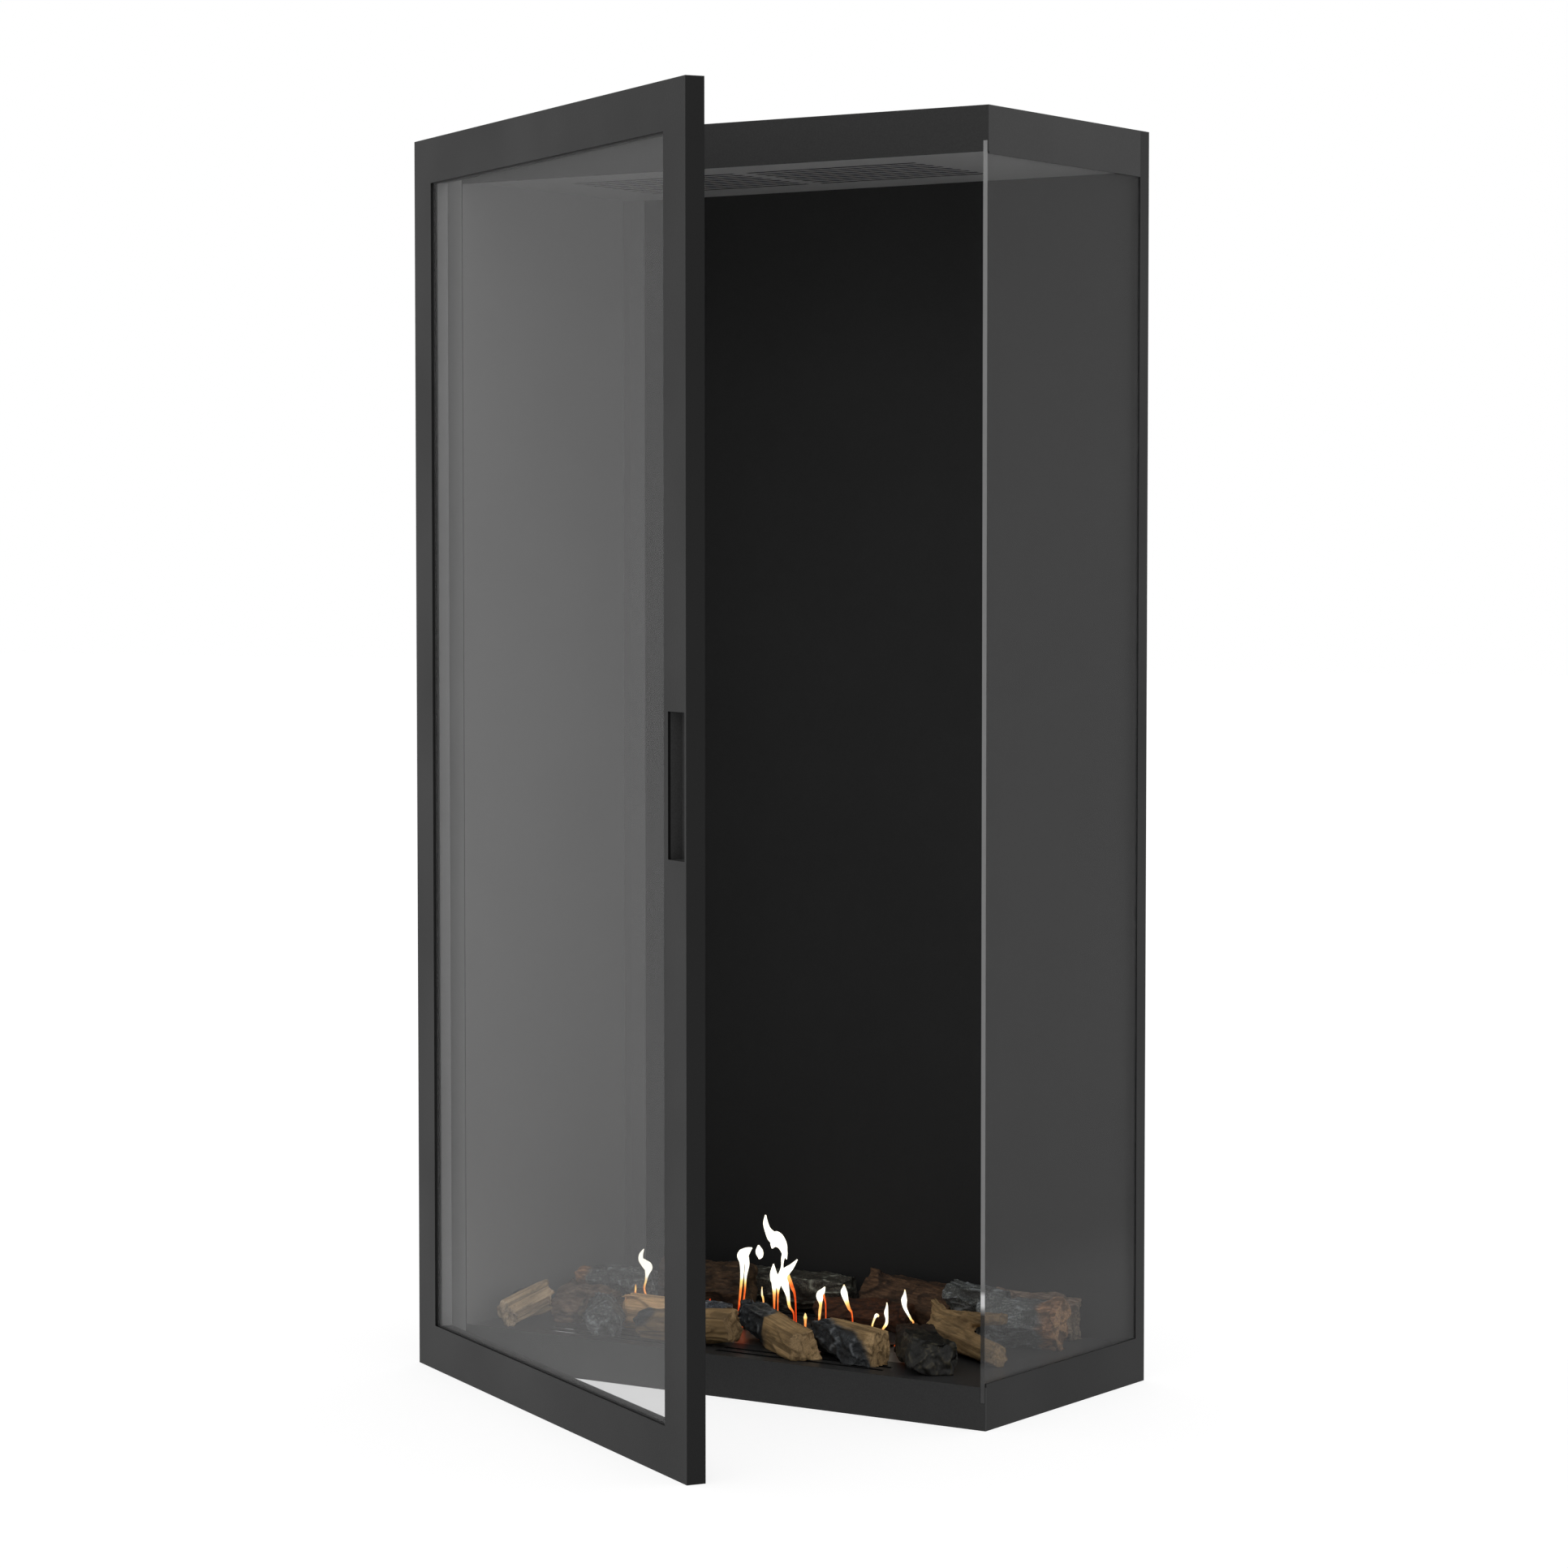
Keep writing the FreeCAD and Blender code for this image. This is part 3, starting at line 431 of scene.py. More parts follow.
def finish_solids():
    for part in frame["record"]["subparts"]:
        finish = NODE_FINISHES.get(part["node"]) or FINISHES.get(part["material_slot"])
        if finish:
            materials = nodes[part["node"]].data.materials
            materials.clear()
            materials.append(finish)


# Logs

TAN, BARK, CHAR = "log_tan", "log_bark", "log_charred"


class Wood:
    """How one log looks.

    Directions are (u, v, w): along the log to its right end, across it to the rear, and up, each as a share
    of half the log's size. splits are the flat faces that it was split to, each a direction and its distance
    from the middle. burnt is the direction in which it is charred, and how far from the middle that starts.
    tone multiplies its colour. limbs, where it has more than one, each go from one point to another with
    their radii, in millimetres.
    """

    def __init__(self, slot, splits, burnt=None, tone=(1, 1, 1), limbs=()):
        self.slot = slot
        self.splits = splits
        self.burnt = burnt
        self.tone = tone
        self.limbs = limbs


WEDGE = [((0, -0.5, 1), 0.6), ((0, -1, -0.3), 0.66), ((0, 0.9, 0.5), 0.62)]
SLAB = [((0, -0.25, 1), 0.55), ((0, -1, -0.1), 0.75), ((0, 1, 0.2), 0.75)]
ROUND = [((0, 1, -0.2), 0.75)]
BLOCK = [((0.2, -0.7, 0.9), 0.66), ((0, -1, -0.5), 0.68), ((-0.2, 0.9, 0.5), 0.66)]
ALL_OVER = ((1, 0, 0), -3)
FORK = [
    ((200, 12, 65), (320, -54, 59), 18, 13),
    ((206, 10, 76), (300, -20, 90), 13, 8),
    ((214, 4, 72), (187, 20, 95), 12, 6),
]

WOODS = {
    "log_front_left": Wood(TAN, WEDGE, tone=(1.8, 2.0, 2.6)),
    "log_left_wall": Wood(CHAR, BLOCK, ((-1, 0, 0), -0.1), tone=(3.6, 3.4, 3.1)),
    "log_left_red": Wood(BARK, ROUND, tone=(3.0, 3.5, 4.2)),
    "log_left_stub": Wood(BARK, ROUND, tone=(3.0, 3.4, 4.0)),
    "log_left_charred": Wood(CHAR, BLOCK, ALL_OVER, tone=(4.7, 4.3, 3.8)),
    "log_left_back": Wood(CHAR, BLOCK, ((1, 0, 0.3), -0.5), tone=(5.9, 5.4, 4.8)),
    "log_middle_tan": Wood(
        TAN,
        [((-0.1, 0.1, 1), 0.58), ((0, -1, -0.1), 0.75), ((0, 1, 0.2), 0.75)],
        ((1, 0, 0), 0.2),
        tone=(3.1, 3.0, 3.2),
    ),
    "log_rear_brown": Wood(BARK, ROUND, tone=(0.9, 0.88, 0.75)),
    "log_rear_long": Wood(BARK, ROUND, ALL_OVER, tone=(2.7, 2.2, 1.6)),
    "log_front_tan": Wood(TAN, WEDGE, ((-1, 0, 0.6), 0.95), tone=grey(0.75)),
    "log_centre_split": Wood(
        TAN,
        [((0, -0.2, 1), 0.6), ((0, 1, 0.3), 0.6), ((0, -1, 0.2), 0.68)],
        ((-1, -0.2, 0), 0.2),
    ),
    "log_centre_red": Wood(BARK, ROUND, tone=(0.8, 0.48, 0.28)),
    "log_right_split": Wood(
        TAN,
        [((0, 0.1, 1), 0.62), ((0.4, -1, 0.1), 0.66), ((0, 1, -0.2), 0.7), ((1, 0.3, 0.1), 0.85)],
        ((-0.5, -1, -0.4), 0.12),
    ),
    "log_right_black": Wood(
        CHAR,
        [((0, 0.1, 1), 0.6), ((0.9, -0.6, 0.5), 0.8), ((0, -1, 0.3), 0.66), ((0, 1, 0.2), 0.66)],
        ((1, 0, 0), -0.5),
        tone=(0.36, 0.29, 0.17),
    ),
    "log_rear_bark": Wood(BARK, ROUND, tone=(1.15, 1.05, 0.9)),
    "log_right_fork": Wood(TAN, [], tone=grey(0.75), limbs=FORK),
    "log_corner_bark": Wood(BARK, SLAB, tone=(3.8, 4.6, 5.6)),
    "log_right_charred": Wood(CHAR, ROUND, ((-1, 0, 0), -0.6), tone=(5.4, 5.0, 4.4)),
    "log_upper_blue": Wood(CHAR, ROUND, ALL_OVER, tone=(4.3, 4.0, 3.4)),
}

LOG_VOXEL = 1.5 * MM
LOG_ROUNDING = 0.5
LOG_ROUNDING_STEPS = 3
LOG_SPREAD = (1.06, 1.16, 1.12)
LIMB_SIDES = 6
FLOOR_CLEAR = 0.3 * MM
FLOOR_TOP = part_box("floor_plate")[1].z

# Split faces are a little wavy. Ends, from the first share in the zone on, are broken to a varying depth
FACE_WAVE = 0.08
END_DEPTH = 7 * MM
END_LEAST = 0.5
END_VARIES = 0.9
END_ZONE = (0.72, 1.0)
END_FACING = (0.55, 0.9)

# Char starts at a ragged line, over a short fade
CHAR_RAGGED = 0.3
CHAR_FADE = 0.12

# Waves a metre, along a log, across it and up
FACE_WAVES = (14, 22, 22)
END_BREAKS = (4, 60, 60)
CHAR_LINE = (40, 40, 40)
SPLIT_FIBRES = (7, 190, 190)
SPLIT_LEDGES = (5, 34, 34)
BARK_PLATES = (13, 24, 24)
BARK_GRAIN = (70, 190, 190)
CHAR_FOLDS = (26, 75, 75)
CHAR_WRINKLES = (80, 190, 190)
CHAR_LEDGES = (20, 36, 36)
CHAR_GRAIN = (160, 260, 260)

# Depths of the relief, in millimetres
SPLIT_FIBRE_DEPTH = 1.0
SPLIT_LEDGE_DEPTH = 2.2
BARK_PLATE_DEPTH = 2.8
BARK_GRAIN_DEPTH = 1.4
CHAR_FOLD_DEPTH = 3.2
CHAR_WRINKLE_DEPTH = 1.6
CHAR_LEDGE_DEPTH = 1.6
CHAR_GRAIN_DEPTH = 0.6

# Steps that a noise is cut into, and the share of a step that its riser takes
SPLIT_STAIR = (2.2, 0.14)
BARK_STAIR = (2.0, 0.12)
CHAR_STAIR = (1.8, 0.2)
STAIR_FOOT = (0.6, 2.2)

# How many times as many waves each octave of a fractal noise has
LACUNARITY = 2.0

# Where cracks and crests start, and where they are full. A foot of a stair is a crack too, to some share
SPLIT_CRACK = (0.15, 0.55)
BARK_CRACK = (0.2, 0.7)
CHAR_FOLD_CRACK = (0.3, 0.6)
CREST = (0.1, 0.5)
CHAR_FOLD_CREST = (0.0, 0.16)
CHAR_WRINKLE_CREST = (0.0, 0.3)
SPLIT_FOOT_CRACK = 0.7
CHAR_FOOT_CRACK = 0.6


def limb(start, end, start_radius, end_radius):
    """A tapered bar between two points."""
    made = bmesh.new()
    line = Vector(end) - Vector(start)
    turn = line.to_track_quat("Z", "Y").to_matrix().to_4x4()
    place = Matrix.Translation((Vector(start) + line / 2) * MM) @ turn
    bmesh.ops.create_cone(
        made,
        cap_ends=True,
        segments=LIMB_SIDES,
        radius1=start_radius * MM,
        radius2=end_radius * MM,
        depth=line.length * MM,
        matrix=place,
    )
    return made


def fine_copy(node, limbs):
    """An evenly meshed copy of a log's solid, or of its limbs in that place, with rounded edges."""
    copy = bpy.data.objects.new("copy", nodes[node].data.copy())
    if limbs:
        whole = bmesh.new()
        for shape in limbs:
            part = bpy.data.meshes.new("limb")
            limb(*shape).to_mesh(part)
            whole.from_mesh(part)
        whole.to_mesh(copy.data)
    bpy.context.scene.collection.objects.link(copy)
    remesh = copy.modifiers.new("remesh", "REMESH")
    remesh.mode = "VOXEL"
    remesh.voxel_size = LOG_VOXEL
    smooth = copy.modifiers.new("smooth", "SMOOTH")
    smooth.factor = LOG_ROUNDING
    smooth.iterations = LOG_ROUNDING_STEPS
    graph = bpy.context.evaluated_depsgraph_get()
    mesh = bpy.data.meshes.new_from_object(copy.evaluated_get(graph))
    bpy.data.objects.remove(copy)
    return mesh


def smoothstep(low, high, numbers):
    """Each number's way from low to high, eased, from 0 to 1."""
    share = np.clip((numbers - low) / (high - low), 0, 1)
    return share * share * (3 - 2 * share)


def step(low, high, number):
    """As smoothstep, for one number."""
    share = min(max((number - low) / (high - low), 0.0), 1.0)
    return share * share * (3 - 2 * share)


def scaled(point, waves):
    return Vector((point[0] * waves[0], point[1] * waves[1], point[2] * waves[2]))


def fractal(point, waves, fall, octaves):
    return noise.fractal(scaled(point, waves), fall, LACUNARITY, octaves)


def folds(point, waves):
    return abs(noise.noise(scaled(point, waves)))


def terraces(texture, steps, riser):
    """A stair of height 1 a step, and 1 along the foot of each riser."""
    height = steps * texture
    low = math.floor(height)
    rise = height - low
    start, end = (riser * share for share in STAIR_FOOT)
    return low + step(0, riser, rise), 1 - step(start, end, rise)


# Each relief gives the depth in millimetres at a point, how far it lies in a crack, and how far on a crest


def split_relief(point):
    fibre = fractal(point, SPLIT_FIBRES, 0.9, 4)
    ledge, foot = terraces(fractal(point, SPLIT_LEDGES, 1.0, 2), *SPLIT_STAIR)
    depth = SPLIT_FIBRE_DEPTH * fibre + SPLIT_LEDGE_DEPTH * ledge
    crack = max(SPLIT_FOOT_CRACK * foot, step(*SPLIT_CRACK, fibre))
    return depth, crack, step(*CREST, -fibre)


def bark_relief(point):
    plate, foot = terraces(fractal(point, BARK_PLATES, 1.0, 2), *BARK_STAIR)
    rough = fractal(point, BARK_GRAIN, 0.7, 4)
    depth = BARK_PLATE_DEPTH * plate + BARK_GRAIN_DEPTH * rough
    crack = max(foot, step(*BARK_CRACK, rough))
    return depth, crack, step(*CREST, -rough)


def char_relief(point):
    fold = folds(point, CHAR_FOLDS)
    wrinkle = folds(point, CHAR_WRINKLES)
    ledge, foot = terraces(fractal(point, CHAR_LEDGES, 1.0, 2), *CHAR_STAIR)
    rough = fractal(point, CHAR_GRAIN, 0.7, 3)
    depth = CHAR_FOLD_DEPTH * fold + CHAR_WRINKLE_DEPTH * wrinkle
    depth = depth + CHAR_LEDGE_DEPTH * ledge + CHAR_GRAIN_DEPTH * rough
    crack = max(CHAR_FOOT_CRACK * foot, step(*CHAR_FOLD_CRACK, fold))
    crest = (1 - step(*CHAR_FOLD_CREST, fold)) * (1 - step(*CHAR_WRINKLE_CREST, wrinkle))
    return depth, crack, crest


RELIEFS = {TAN: split_relief, BARK: bark_relief, CHAR: bark_relief}


def log_axes(places):
    """Unit vectors along a log, towards its right end, and across it."""
    along = np.linalg.svd(places - places.mean(0), full_matrices=False)[2][0]
    along = along * (1 if along[0] > 0 else -1)
    side = np.cross((0, 0, 1), along)
    side = side / np.linalg.norm(side)
    return np.array((along, side, np.cross(along, side)))


def read(mesh, name):
    values = np.zeros(len(mesh.vertices) * 3)
    mesh.vertices.foreach_get(name, values)
    return values.reshape(-1, 3)


def roughly(places, waves):
    """Smooth noise at each place."""
    return np.array([noise.noise(Vector(place * waves)) for place in places])


def split(shares, direction, offset):
    """Moves what stands beyond a plane back onto it."""
    normal = np.array(direction) / np.linalg.norm(direction)
    beyond = np.maximum(shares @ normal - offset, 0)
    return shares - beyond[:, None] * normal


def split_log(grain, half, wood, seed):
    """A log's points, split to its flat faces and broken at its ends, and the same as shares of half."""
    shares = grain / half * LOG_SPREAD
    wavy = FACE_WAVE * roughly(grain + seed, FACE_WAVES)
    for direction, offset in wood.splits:
        shares = split(shares, direction, offset + wavy)
    grain = shares * half
    broken = END_DEPTH * (END_LEAST + END_VARIES * roughly(grain + seed, END_BREAKS))
    grain[:, 0] -= np.sign(shares[:, 0]) * broken * smoothstep(*END_ZONE, np.abs(shares[:, 0]))
    return grain, shares


def charred(grain, shares, wood, seed):
    """How far each point of a log is burnt, from 0 to 1."""
    if not wood.burnt:
        return np.zeros(len(grain))
    direction, start = wood.burnt
    ragged = shares @ np.array(direction) + CHAR_RAGGED * roughly(grain + seed, CHAR_LINE)
    return smoothstep(start - CHAR_FADE, start + CHAR_FADE, ragged)


def reliefs(points, burnt, relief):
    """Each point's relief: that of the wood, or of char where it is burnt."""
    rows = np.zeros((len(points), 3))
    for index, point in enumerate(points):
        fresh = np.array(relief(point))
        if burnt[index] > 0:
            fresh += (np.array(char_relief(point)) - fresh) * burnt[index]
        rows[index] = fresh
    return rows


def store(mesh, numbers, vectors):
    """Keeps numbers and vectors for each point of a mesh, for its material to read."""
    for name, rows in numbers.items():
        layer = mesh.attributes.new(name, "FLOAT", "POINT")
        layer.data.foreach_set("value", rows.astype(np.float32))
    for name, rows in vectors.items():
        layer = mesh.attributes.new(name, "FLOAT_VECTOR", "POINT")
        layer.data.foreach_set("vector", rows.astype(np.float32).ravel())


def cabinet_piece(name, mesh, surface):
    """Puts a smooth mesh in the scene, to ride on the cabinet."""
    mesh.polygons.foreach_set("use_smooth", [True] * len(mesh.polygons))
    mesh.update()
    mesh.materials.clear()
    mesh.materials.append(surface)
    piece = bpy.data.objects.new(name, mesh)
    bpy.context.scene.collection.objects.link(piece)
    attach(piece, "cabinet")
    return piece


def log_piece(node, wood, seed, surface):
    mesh = fine_copy(node, wood.limbs)
    places = read(mesh, "co")
    middle = (places.min(0) + places.max(0)) / 2
    solid = np.array([vertex.co for vertex in nodes[node].data.vertices])
    axes = log_axes(solid)
    half = np.abs((solid - middle) @ axes.T).max(0)
    end = smoothstep(*END_FACING, np.abs(read(mesh, "normal") @ axes[0]))
    grain, shares = split_log((places - middle) @ axes.T, half, wood, seed)
    mesh.vertices.foreach_set("co", (grain @ axes + middle).ravel())
    mesh.update()
    burnt = charred(grain, shares, wood, seed)
    rows = reliefs(grain + seed, burnt, RELIEFS[wood.slot])
    places = grain @ axes + middle - read(mesh, "normal") * rows[:, :1] * MM
    places[:, 2] = np.maximum(places[:, 2], FLOOR_TOP + FLOOR_CLEAR)
    mesh.vertices.foreach_set("co", places.ravel())
    store(
        mesh,
        {"burnt": burnt, "crack": rows[:, 1], "crest": rows[:, 2], "cut": end},
        {"grain": grain + seed, "tone": np.tile(wood.tone, (len(grain), 1))},
    )
    piece = cabinet_piece(node + "_skin", mesh, surface)
    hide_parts(node)


# Each wood's dark, middle and light tones, the light tone of its cut ends, and its fibres in waves a metre
SPLIT_WOOD = (
    (0.29, 0.185, 0.08),
    (0.45, 0.29, 0.13),
    (0.58, 0.39, 0.19),
    (0.62, 0.42, 0.215),
    (16, 560, 560),
)
BARK_WOOD = (
    (0.024, 0.014, 0.008),
    (0.072, 0.041, 0.024),
    (0.15, 0.09, 0.054),
    (0.15, 0.095, 0.055),
    (90, 320, 320),
)
CHAR_DARK = (0.004, 0.005, 0.006)
CHAR_MIDDLE = (0.016, 0.019, 0.022)
CHAR_LIGHT = (0.085, 0.095, 0.1)
CHAR_CRACK_SHADE = grey(0.004)
ASH_AND_HIGHLIGHT = (0.3, 0.32, 0.335)
ASH_AND_HIGHLIGHT_TONE = grey(2)

WOOD_PATCHES = 32
WOOD_SPECKLES = 650
CRACK_SHADE = 0.3
CRACK_SHADE_COVER = 0.7
CHAR_CRACK_SHADE_COVER = 0.8
ASH_AND_HIGHLIGHT_COVER = 0.6
WOOD_ROUGHNESS = (0.7, 0.9)
CHAR_SMOOTHER = 0.3
WOOD_SPECULAR = 0.4
WOOD_BUMP = 0.6
WOOD_RELIEF = 1.0 * MM


def wood_surface(name, dark, middle, light, end_light, fibre_waves):
    """Wood or bark with its grain along the log, paler on its cut ends, and dark where it is charred; its
    cracks have painted shade, and its charred crests pale ash with painted highlights.
    """
    made = Material(name)
    grain = made.attribute("grain", "Vector")
    crack = made.attribute("crack", "Fac")
    burnt = made.attribute("burnt", "Fac")
    tone = made.attribute("tone", "Vector")
    fibres = made.noise(made.stretched(grain, fibre_waves), 1, detail=6, roughness=0.65)
    patches = made.noise(grain, WOOD_PATCHES, detail=4)
    speckle = made.noise(grain, WOOD_SPECKLES, detail=4, roughness=0.7)

    wood = made.ramp(fibres, [(NOISE_LOW, dark), (0.5, middle), (NOISE_HIGH, light)])
    cut = made.ramp(speckle, [(NOISE_LOW, dark), (0.65, end_light)])
    wood = made.mix(made.attribute("cut", "Fac"), wood, cut)
    blotches = made.greys(patches, [(NOISE_LOW, 0.6), (0.62, 1.08)])
    wood = made.mix(1.0, wood, blotches, "MULTIPLY")
    # Painted shade: wood is darkened in its cracks and along the foot of each ledge
    shade = opaque([CRACK_SHADE * part for part in dark])
    wood = made.mix(made.range(crack, 0.0, CRACK_SHADE_COVER), wood, shade)

    black = made.ramp(speckle, [(NOISE_LOW, CHAR_DARK), (0.5, CHAR_MIDDLE), (0.72, CHAR_LIGHT)])
    # Painted shade: char goes near black in its cracks
    black = made.mix(made.range(crack, 0.0, CHAR_CRACK_SHADE_COVER), black, opaque(CHAR_CRACK_SHADE))
    colour = made.mix(1.0, made.mix(burnt, wood, black), tone, "MULTIPLY")

    # Ash and painted highlight: burnt crests turn pale grey, partly ash and partly a painted glitter of
    # light
    ash_and_highlight_tone = made.node("VectorMath", {0: tone, 1: ASH_AND_HIGHLIGHT_TONE}, operation="MINIMUM").outputs[0]
    ash_and_highlight = made.mix(1.0, ash_and_highlight_tone, opaque(ASH_AND_HIGHLIGHT), "MULTIPLY")
    ash_and_highlight_share = made.math("MULTIPLY", burnt, made.range(made.attribute("crest", "Fac"), 0.0, ASH_AND_HIGHLIGHT_COVER))
    smoother = made.range(burnt, 0.0, CHAR_SMOOTHER)
    return made.surface(
        Base_Color=made.mix(ash_and_highlight_share, colour, ash_and_highlight),
        Roughness=made.math("SUBTRACT", made.spread(speckle, *WOOD_ROUGHNESS), smoother),
        Specular_IOR_Level=WOOD_SPECULAR,
        Normal=made.bump(made.mix(burnt, fibres, speckle), WOOD_BUMP, WOOD_RELIEF),
    )


def logs():
    surfaces = {
        TAN: wood_surface("split_wood", *SPLIT_WOOD),
        BARK: wood_surface("bark", *BARK_WOOD),
        CHAR: wood_surface("charred_bark", *BARK_WOOD),
    }
    for seed, (node, wood) in enumerate(WOODS.items(), start=1):
        log_piece(node, wood, seed, surfaces[wood.slot])


# Flames

BURNER_Y = -5 * MM
FLAME_SIDES = 12
FLAME_STEPS = 6
FLAME_FLATNESS = 0.6
FLAME_THINNEST = 0.3
FLAME_COLOURS = [
    (0.0, (0.75, 0.06, 0.01)),
    (0.25, (1.0, 0.25, 0.05)),
    (0.5, (1.0, 0.65, 0.2)),
    (0.75, (1.0, 0.95, 0.8)),
]
FLAME_STRENGTH = (1.0, 1.8)
FLICKER_WAVES = 120
FLICKER = 0.08

# Each flame's tongues, and each tongue's line from its foot in the burner's slot to its tip:
# x, z and half width in millimetres, and its heat from 0, red, to 1, white
FLAMES = {
    "flame_left": [
        [
            (-64, 44, 0.8, 0), (-61, 71, 1.3, 0.1), (-59, 88, 1.5, 0.25), (-57, 107, 2.2, 0.8),
            (-57, 120, 3.2, 1), (-57, 128, 6.5, 1), (-53, 132, 6, 1), (-48, 136, 3.5, 1),
            (-43, 139, 0.6, 1),
        ],
        [
            (-57, 44, 0.7, 0), (-55, 73, 1.1, 0.05), (-53, 89, 1.2, 0.15), (-52, 105, 1.6, 0.7),
            (-50, 119, 3, 1), (-52, 128, 4, 1),
        ],
        [
            (-33, 127, 0.8, 1), (-32, 131, 4.2, 1), (-33, 137, 4.6, 1), (-34, 143, 0.8, 1),
        ],
    ],
    "flame_middle": [
        [
            (-12, 44, 0.8, 0), (-12, 79, 1.4, 0.2), (-12, 97, 3, 0.8), (-11, 103, 5.5, 1),
            (-13, 112, 4.5, 1), (-13, 123, 0.6, 1),
        ],
        [
            (-7, 44, 0.6, 0), (-7, 84, 1, 0.2), (-6, 98, 2.5, 0.9), (-4, 106, 5, 1),
        ],
        [
            (15, 44, 0.8, 0), (15, 67, 1, 0.1), (9, 76, 1.8, 0.45), (7, 88, 2.6, 0.75),
            (3, 100, 5, 1), (0, 108, 7.5, 1), (5, 116, 5, 1), (12, 122, 3.2, 1), (20, 131, 0.6, 1),
        ],
        [
            (19, 44, 0.6, 0), (17, 86, 1.2, 0.05), (13, 98, 2.2, 0.15), (7, 111, 2.5, 0.5),
            (4, 116, 2.5, 1),
        ],
        [
            (-1, 112, 5, 1), (-1, 121, 1.5, 1), (0, 131, 2.2, 1), (2, 137, 3.5, 1),
            (-1, 146, 6.5, 1), (-8, 152, 9, 1), (-15, 155, 7, 1), (-21, 162, 4.2, 1),
            (-24, 170, 3.2, 1), (-24, 179, 0.8, 1),
        ],
        [
            (-8, 152, 7, 1), (-13, 146, 4.5, 1), (-15, 141, 0.8, 1),
        ],
        [
            (-1, 146, 5, 1), (3, 138, 3.2, 1), (5, 130, 0.6, 1),
        ],
    ],
    "flame_red": [
        [
            (-104, 44, 0.8, 0), (-103, 62, 1.6, 0), (-103, 67, 2.4, 0.05), (-102, 74, 0.5, 0.05),
        ],
    ],
    "flame_thin": [
        [
            (-28, 44, 0.7, 0.1), (-27, 77, 1, 0.4), (-29, 86, 1.1, 0.6), (-29, 95, 0.4, 0.5),
        ],
    ],
    "flame_small": [
        [
            (31, 44, 0.8, 0.1), (31, 61, 1.6, 0.3), (31, 65, 2.2, 0.55), (31, 70, 0.5, 0.5),
        ],
    ],
    "flame_right": [
        [
            (50, 44, 0.8, 0), (50, 62, 1.2, 0.25), (51, 74, 1.8, 0.45), (52, 82, 1.8, 0.5),
            (51, 92, 4.8, 0.95), (55, 98, 3, 0.9), (58, 103, 0.6, 0.7),
        ],
        [
            (59, 44, 0.5, 0), (59, 80, 0.8, 0.05), (57, 90, 1.4, 0.1), (54, 97, 2, 0.5),
        ],
    ],
    "flame_drop": [
        [
            (97, 44, 0.7, 0), (95, 74, 1, 0.1), (91, 81, 1.8, 0.3), (87, 90, 3, 0.65),
            (84, 99, 4.2, 0.95), (84, 104, 2.4, 0.8), (84, 108, 0.5, 0.6),
        ],
    ],
    "flame_hook": [
        [
            (120, 44, 0.6, 0.1), (122, 63, 1, 0.4), (125, 72, 1.2, 0.6), (128, 77, 2, 0.8),
            (131, 76, 1.2, 0.6),
        ],
    ],
    "flame_slim": [
        [
            (135, 44, 0.7, 0.05), (136, 60, 1.1, 0.3), (141, 68, 1.9, 0.6), (142, 74, 1.7, 0.7),
            (141, 81, 2.5, 0.95), (142, 88, 1.4, 0.8), (142, 93, 0.5, 0.6),
        ],
    ],
    "flame_far_right": [
        [
            (152, 44, 0.6, 0.05), (176, 70, 1, 0.3), (174, 77, 1.3, 0.5), (170, 83, 1.6, 0.7),
            (166, 90, 2.4, 0.9), (165, 98, 3.6, 1), (166, 105, 1.6, 0.8), (166, 110, 0.5, 0.6),
        ],
    ],
    "flame_far_left": [
        [
            (-172, 44, 0.7, 0.05), (-195, 72, 1.2, 0.3), (-194, 87, 1.4, 0.5), (-192, 96, 3, 0.95),
            (-191, 103, 6, 1), (-196, 107, 5, 1), (-201, 111, 3.4, 1), (-201, 117, 2.6, 1),
            (-197, 124, 0.6, 1),
        ],
        [
            (-173, 44, 0.6, 0.05), (-203, 62, 0.8, 0.2), (-209, 70, 1.1, 0.3), (-209, 76, 1.2, 0.5),
            (-209, 81, 0.4, 0.4),
        ],
    ],
}


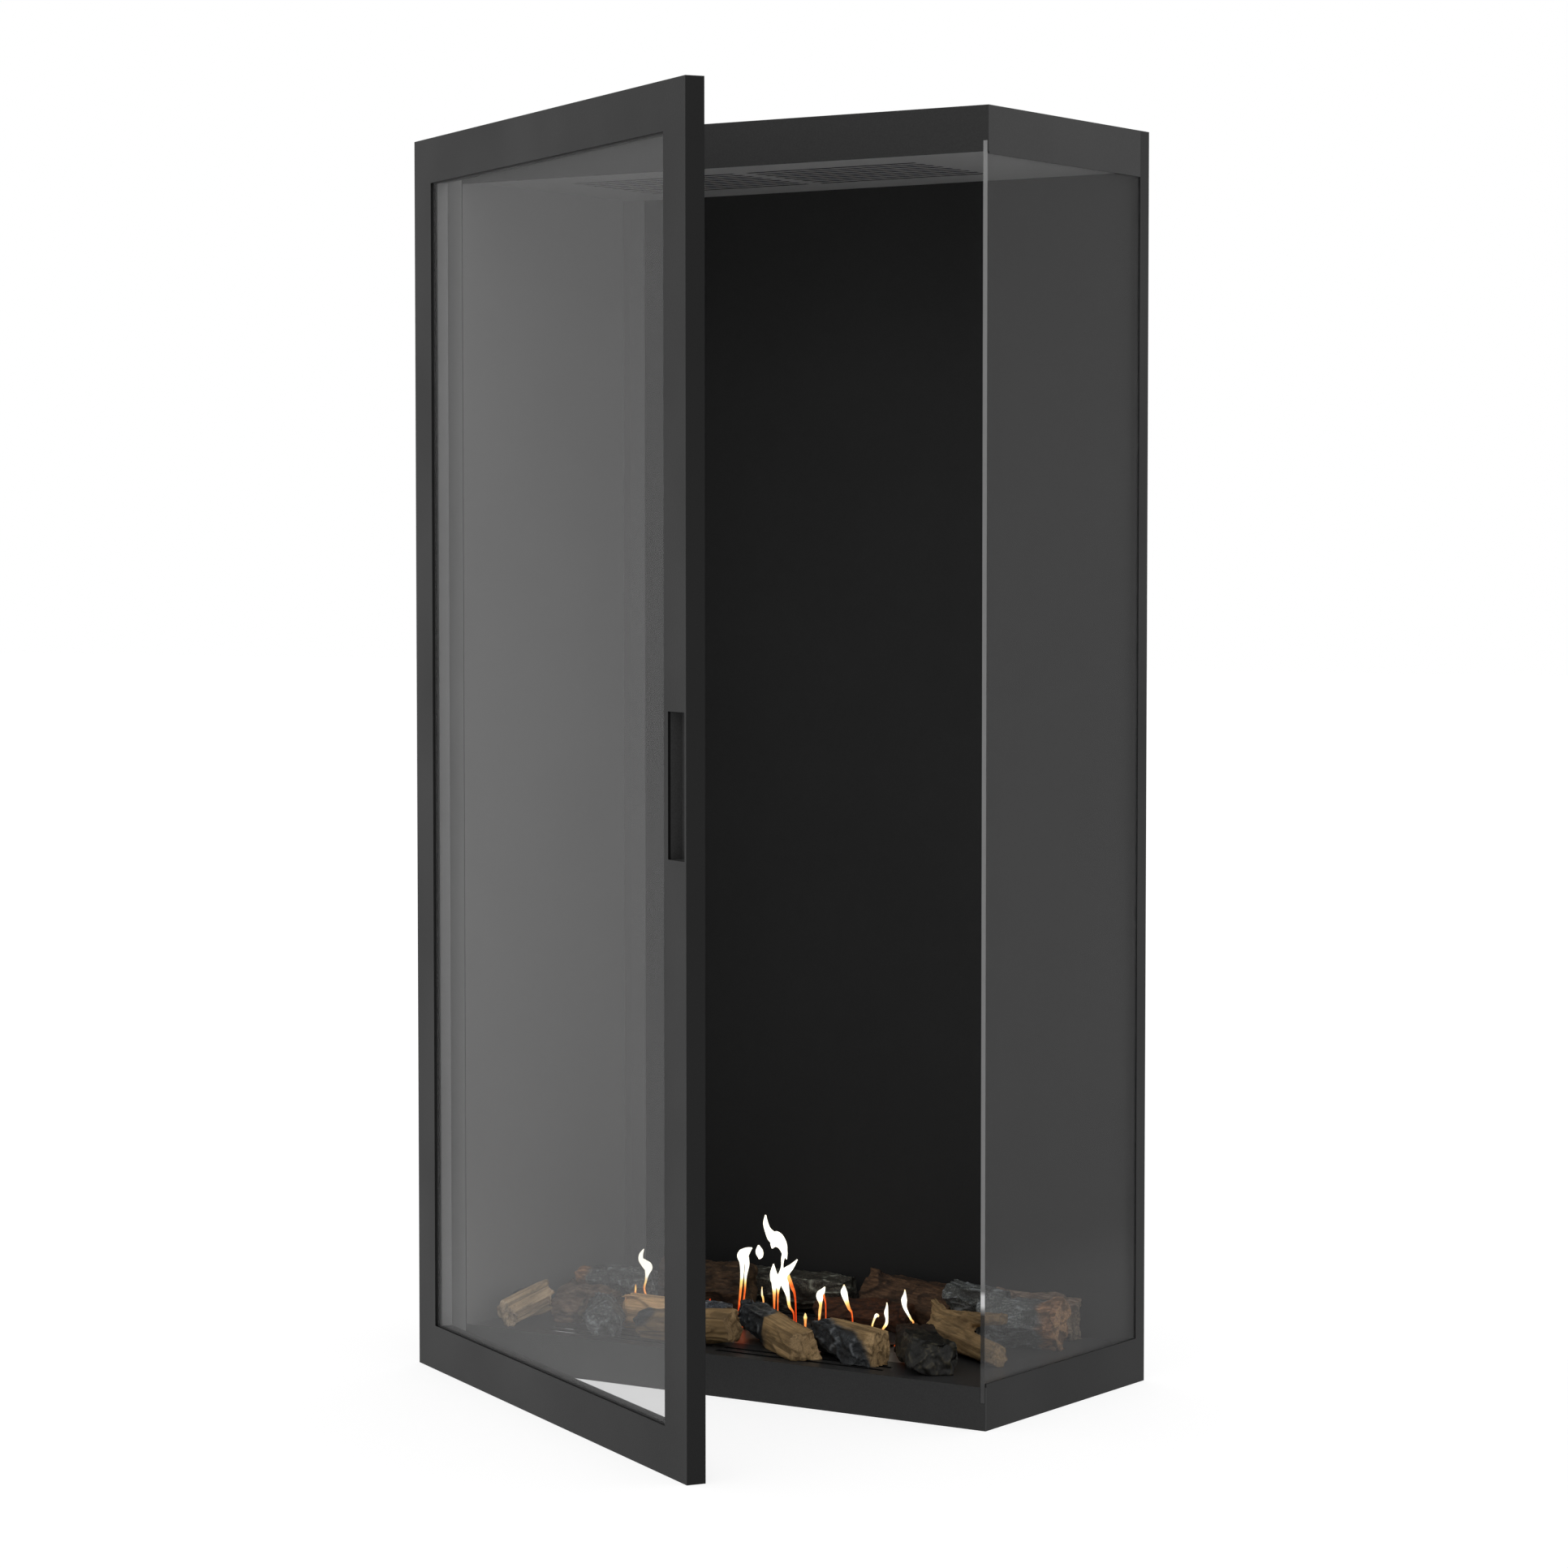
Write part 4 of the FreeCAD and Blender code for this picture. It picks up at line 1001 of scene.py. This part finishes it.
def smooth_line(points):
    """Points along a smooth curve through the given ones."""
    rows = np.array([points[0], *points, points[-1]], float)
    line = []
    for before, start, end, after in zip(rows, rows[1:], rows[2:], rows[3:]):
        for part in range(FLAME_STEPS):
            t = part / FLAME_STEPS
            bend = 2 * before - 5 * start + 4 * end - after
            twist = 3 * start - before - 3 * end + after
            line.append(start + 0.5 * ((end - before) * t + bend * t * t + twist * t**3))
    line.append(rows[-1])
    return line


def tongue(made, heats, points):
    """Adds one tongue of flame to a mesh in the making, and its points' heats to a list."""
    line = smooth_line(points)
    rings = []
    for index, (x, z, half, heat) in enumerate(line):
        ahead = line[min(index + 1, len(line) - 1)][:2] - line[max(index - 1, 0)][:2]
        ahead = ahead / np.linalg.norm(ahead)
        radius = max(half, FLAME_THINNEST)
        ring = []
        for side in range(FLAME_SIDES):
            angle = 2 * math.pi * side / FLAME_SIDES
            across = radius * math.cos(angle) * MM
            deep = radius * math.sin(angle) * MM * FLAME_FLATNESS
            point = (x * MM + across * ahead[1], BURNER_Y + deep, z * MM - across * ahead[0])
            ring.append(made.verts.new(point))
            heats.append(heat)
        rings.append(ring)
    for near, far in zip(rings, rings[1:]):
        for side in range(FLAME_SIDES):
            after = (side + 1) % FLAME_SIDES
            made.faces.new((near[side], near[after], far[after], far[side]))
    made.faces.new(rings[0][::-1])
    made.faces.new(rings[-1])


def flame(name, tongues, surface):
    made = bmesh.new()
    heats = []
    for points in tongues:
        tongue(made, heats, points)
    mesh = bpy.data.meshes.new(name)
    made.to_mesh(mesh)
    store(mesh, {"whiteness": np.array(heats)}, {})
    cabinet_piece(name, mesh, surface)


def flame_surface():
    made = Material("flame")
    flicker = made.spread(made.noise(made.place, FLICKER_WAVES), -FLICKER, FLICKER)
    heat = made.math("ADD", made.attribute("whiteness", "Fac"), flicker)
    return made.surface(
        Base_Color=BLACK,
        Roughness=1.0,
        Specular_IOR_Level=0.0,
        Emission_Color=made.ramp(heat, FLAME_COLOURS),
        Emission_Strength=made.range(heat, *FLAME_STRENGTH),
    )


def flames():
    surface = flame_surface()
    for name, tongues in FLAMES.items():
        flame(name, tongues, surface)


camera()
surround()
finish_solids()
logs()
flames()

bpy.context.scene.view_settings.view_transform = "Standard"
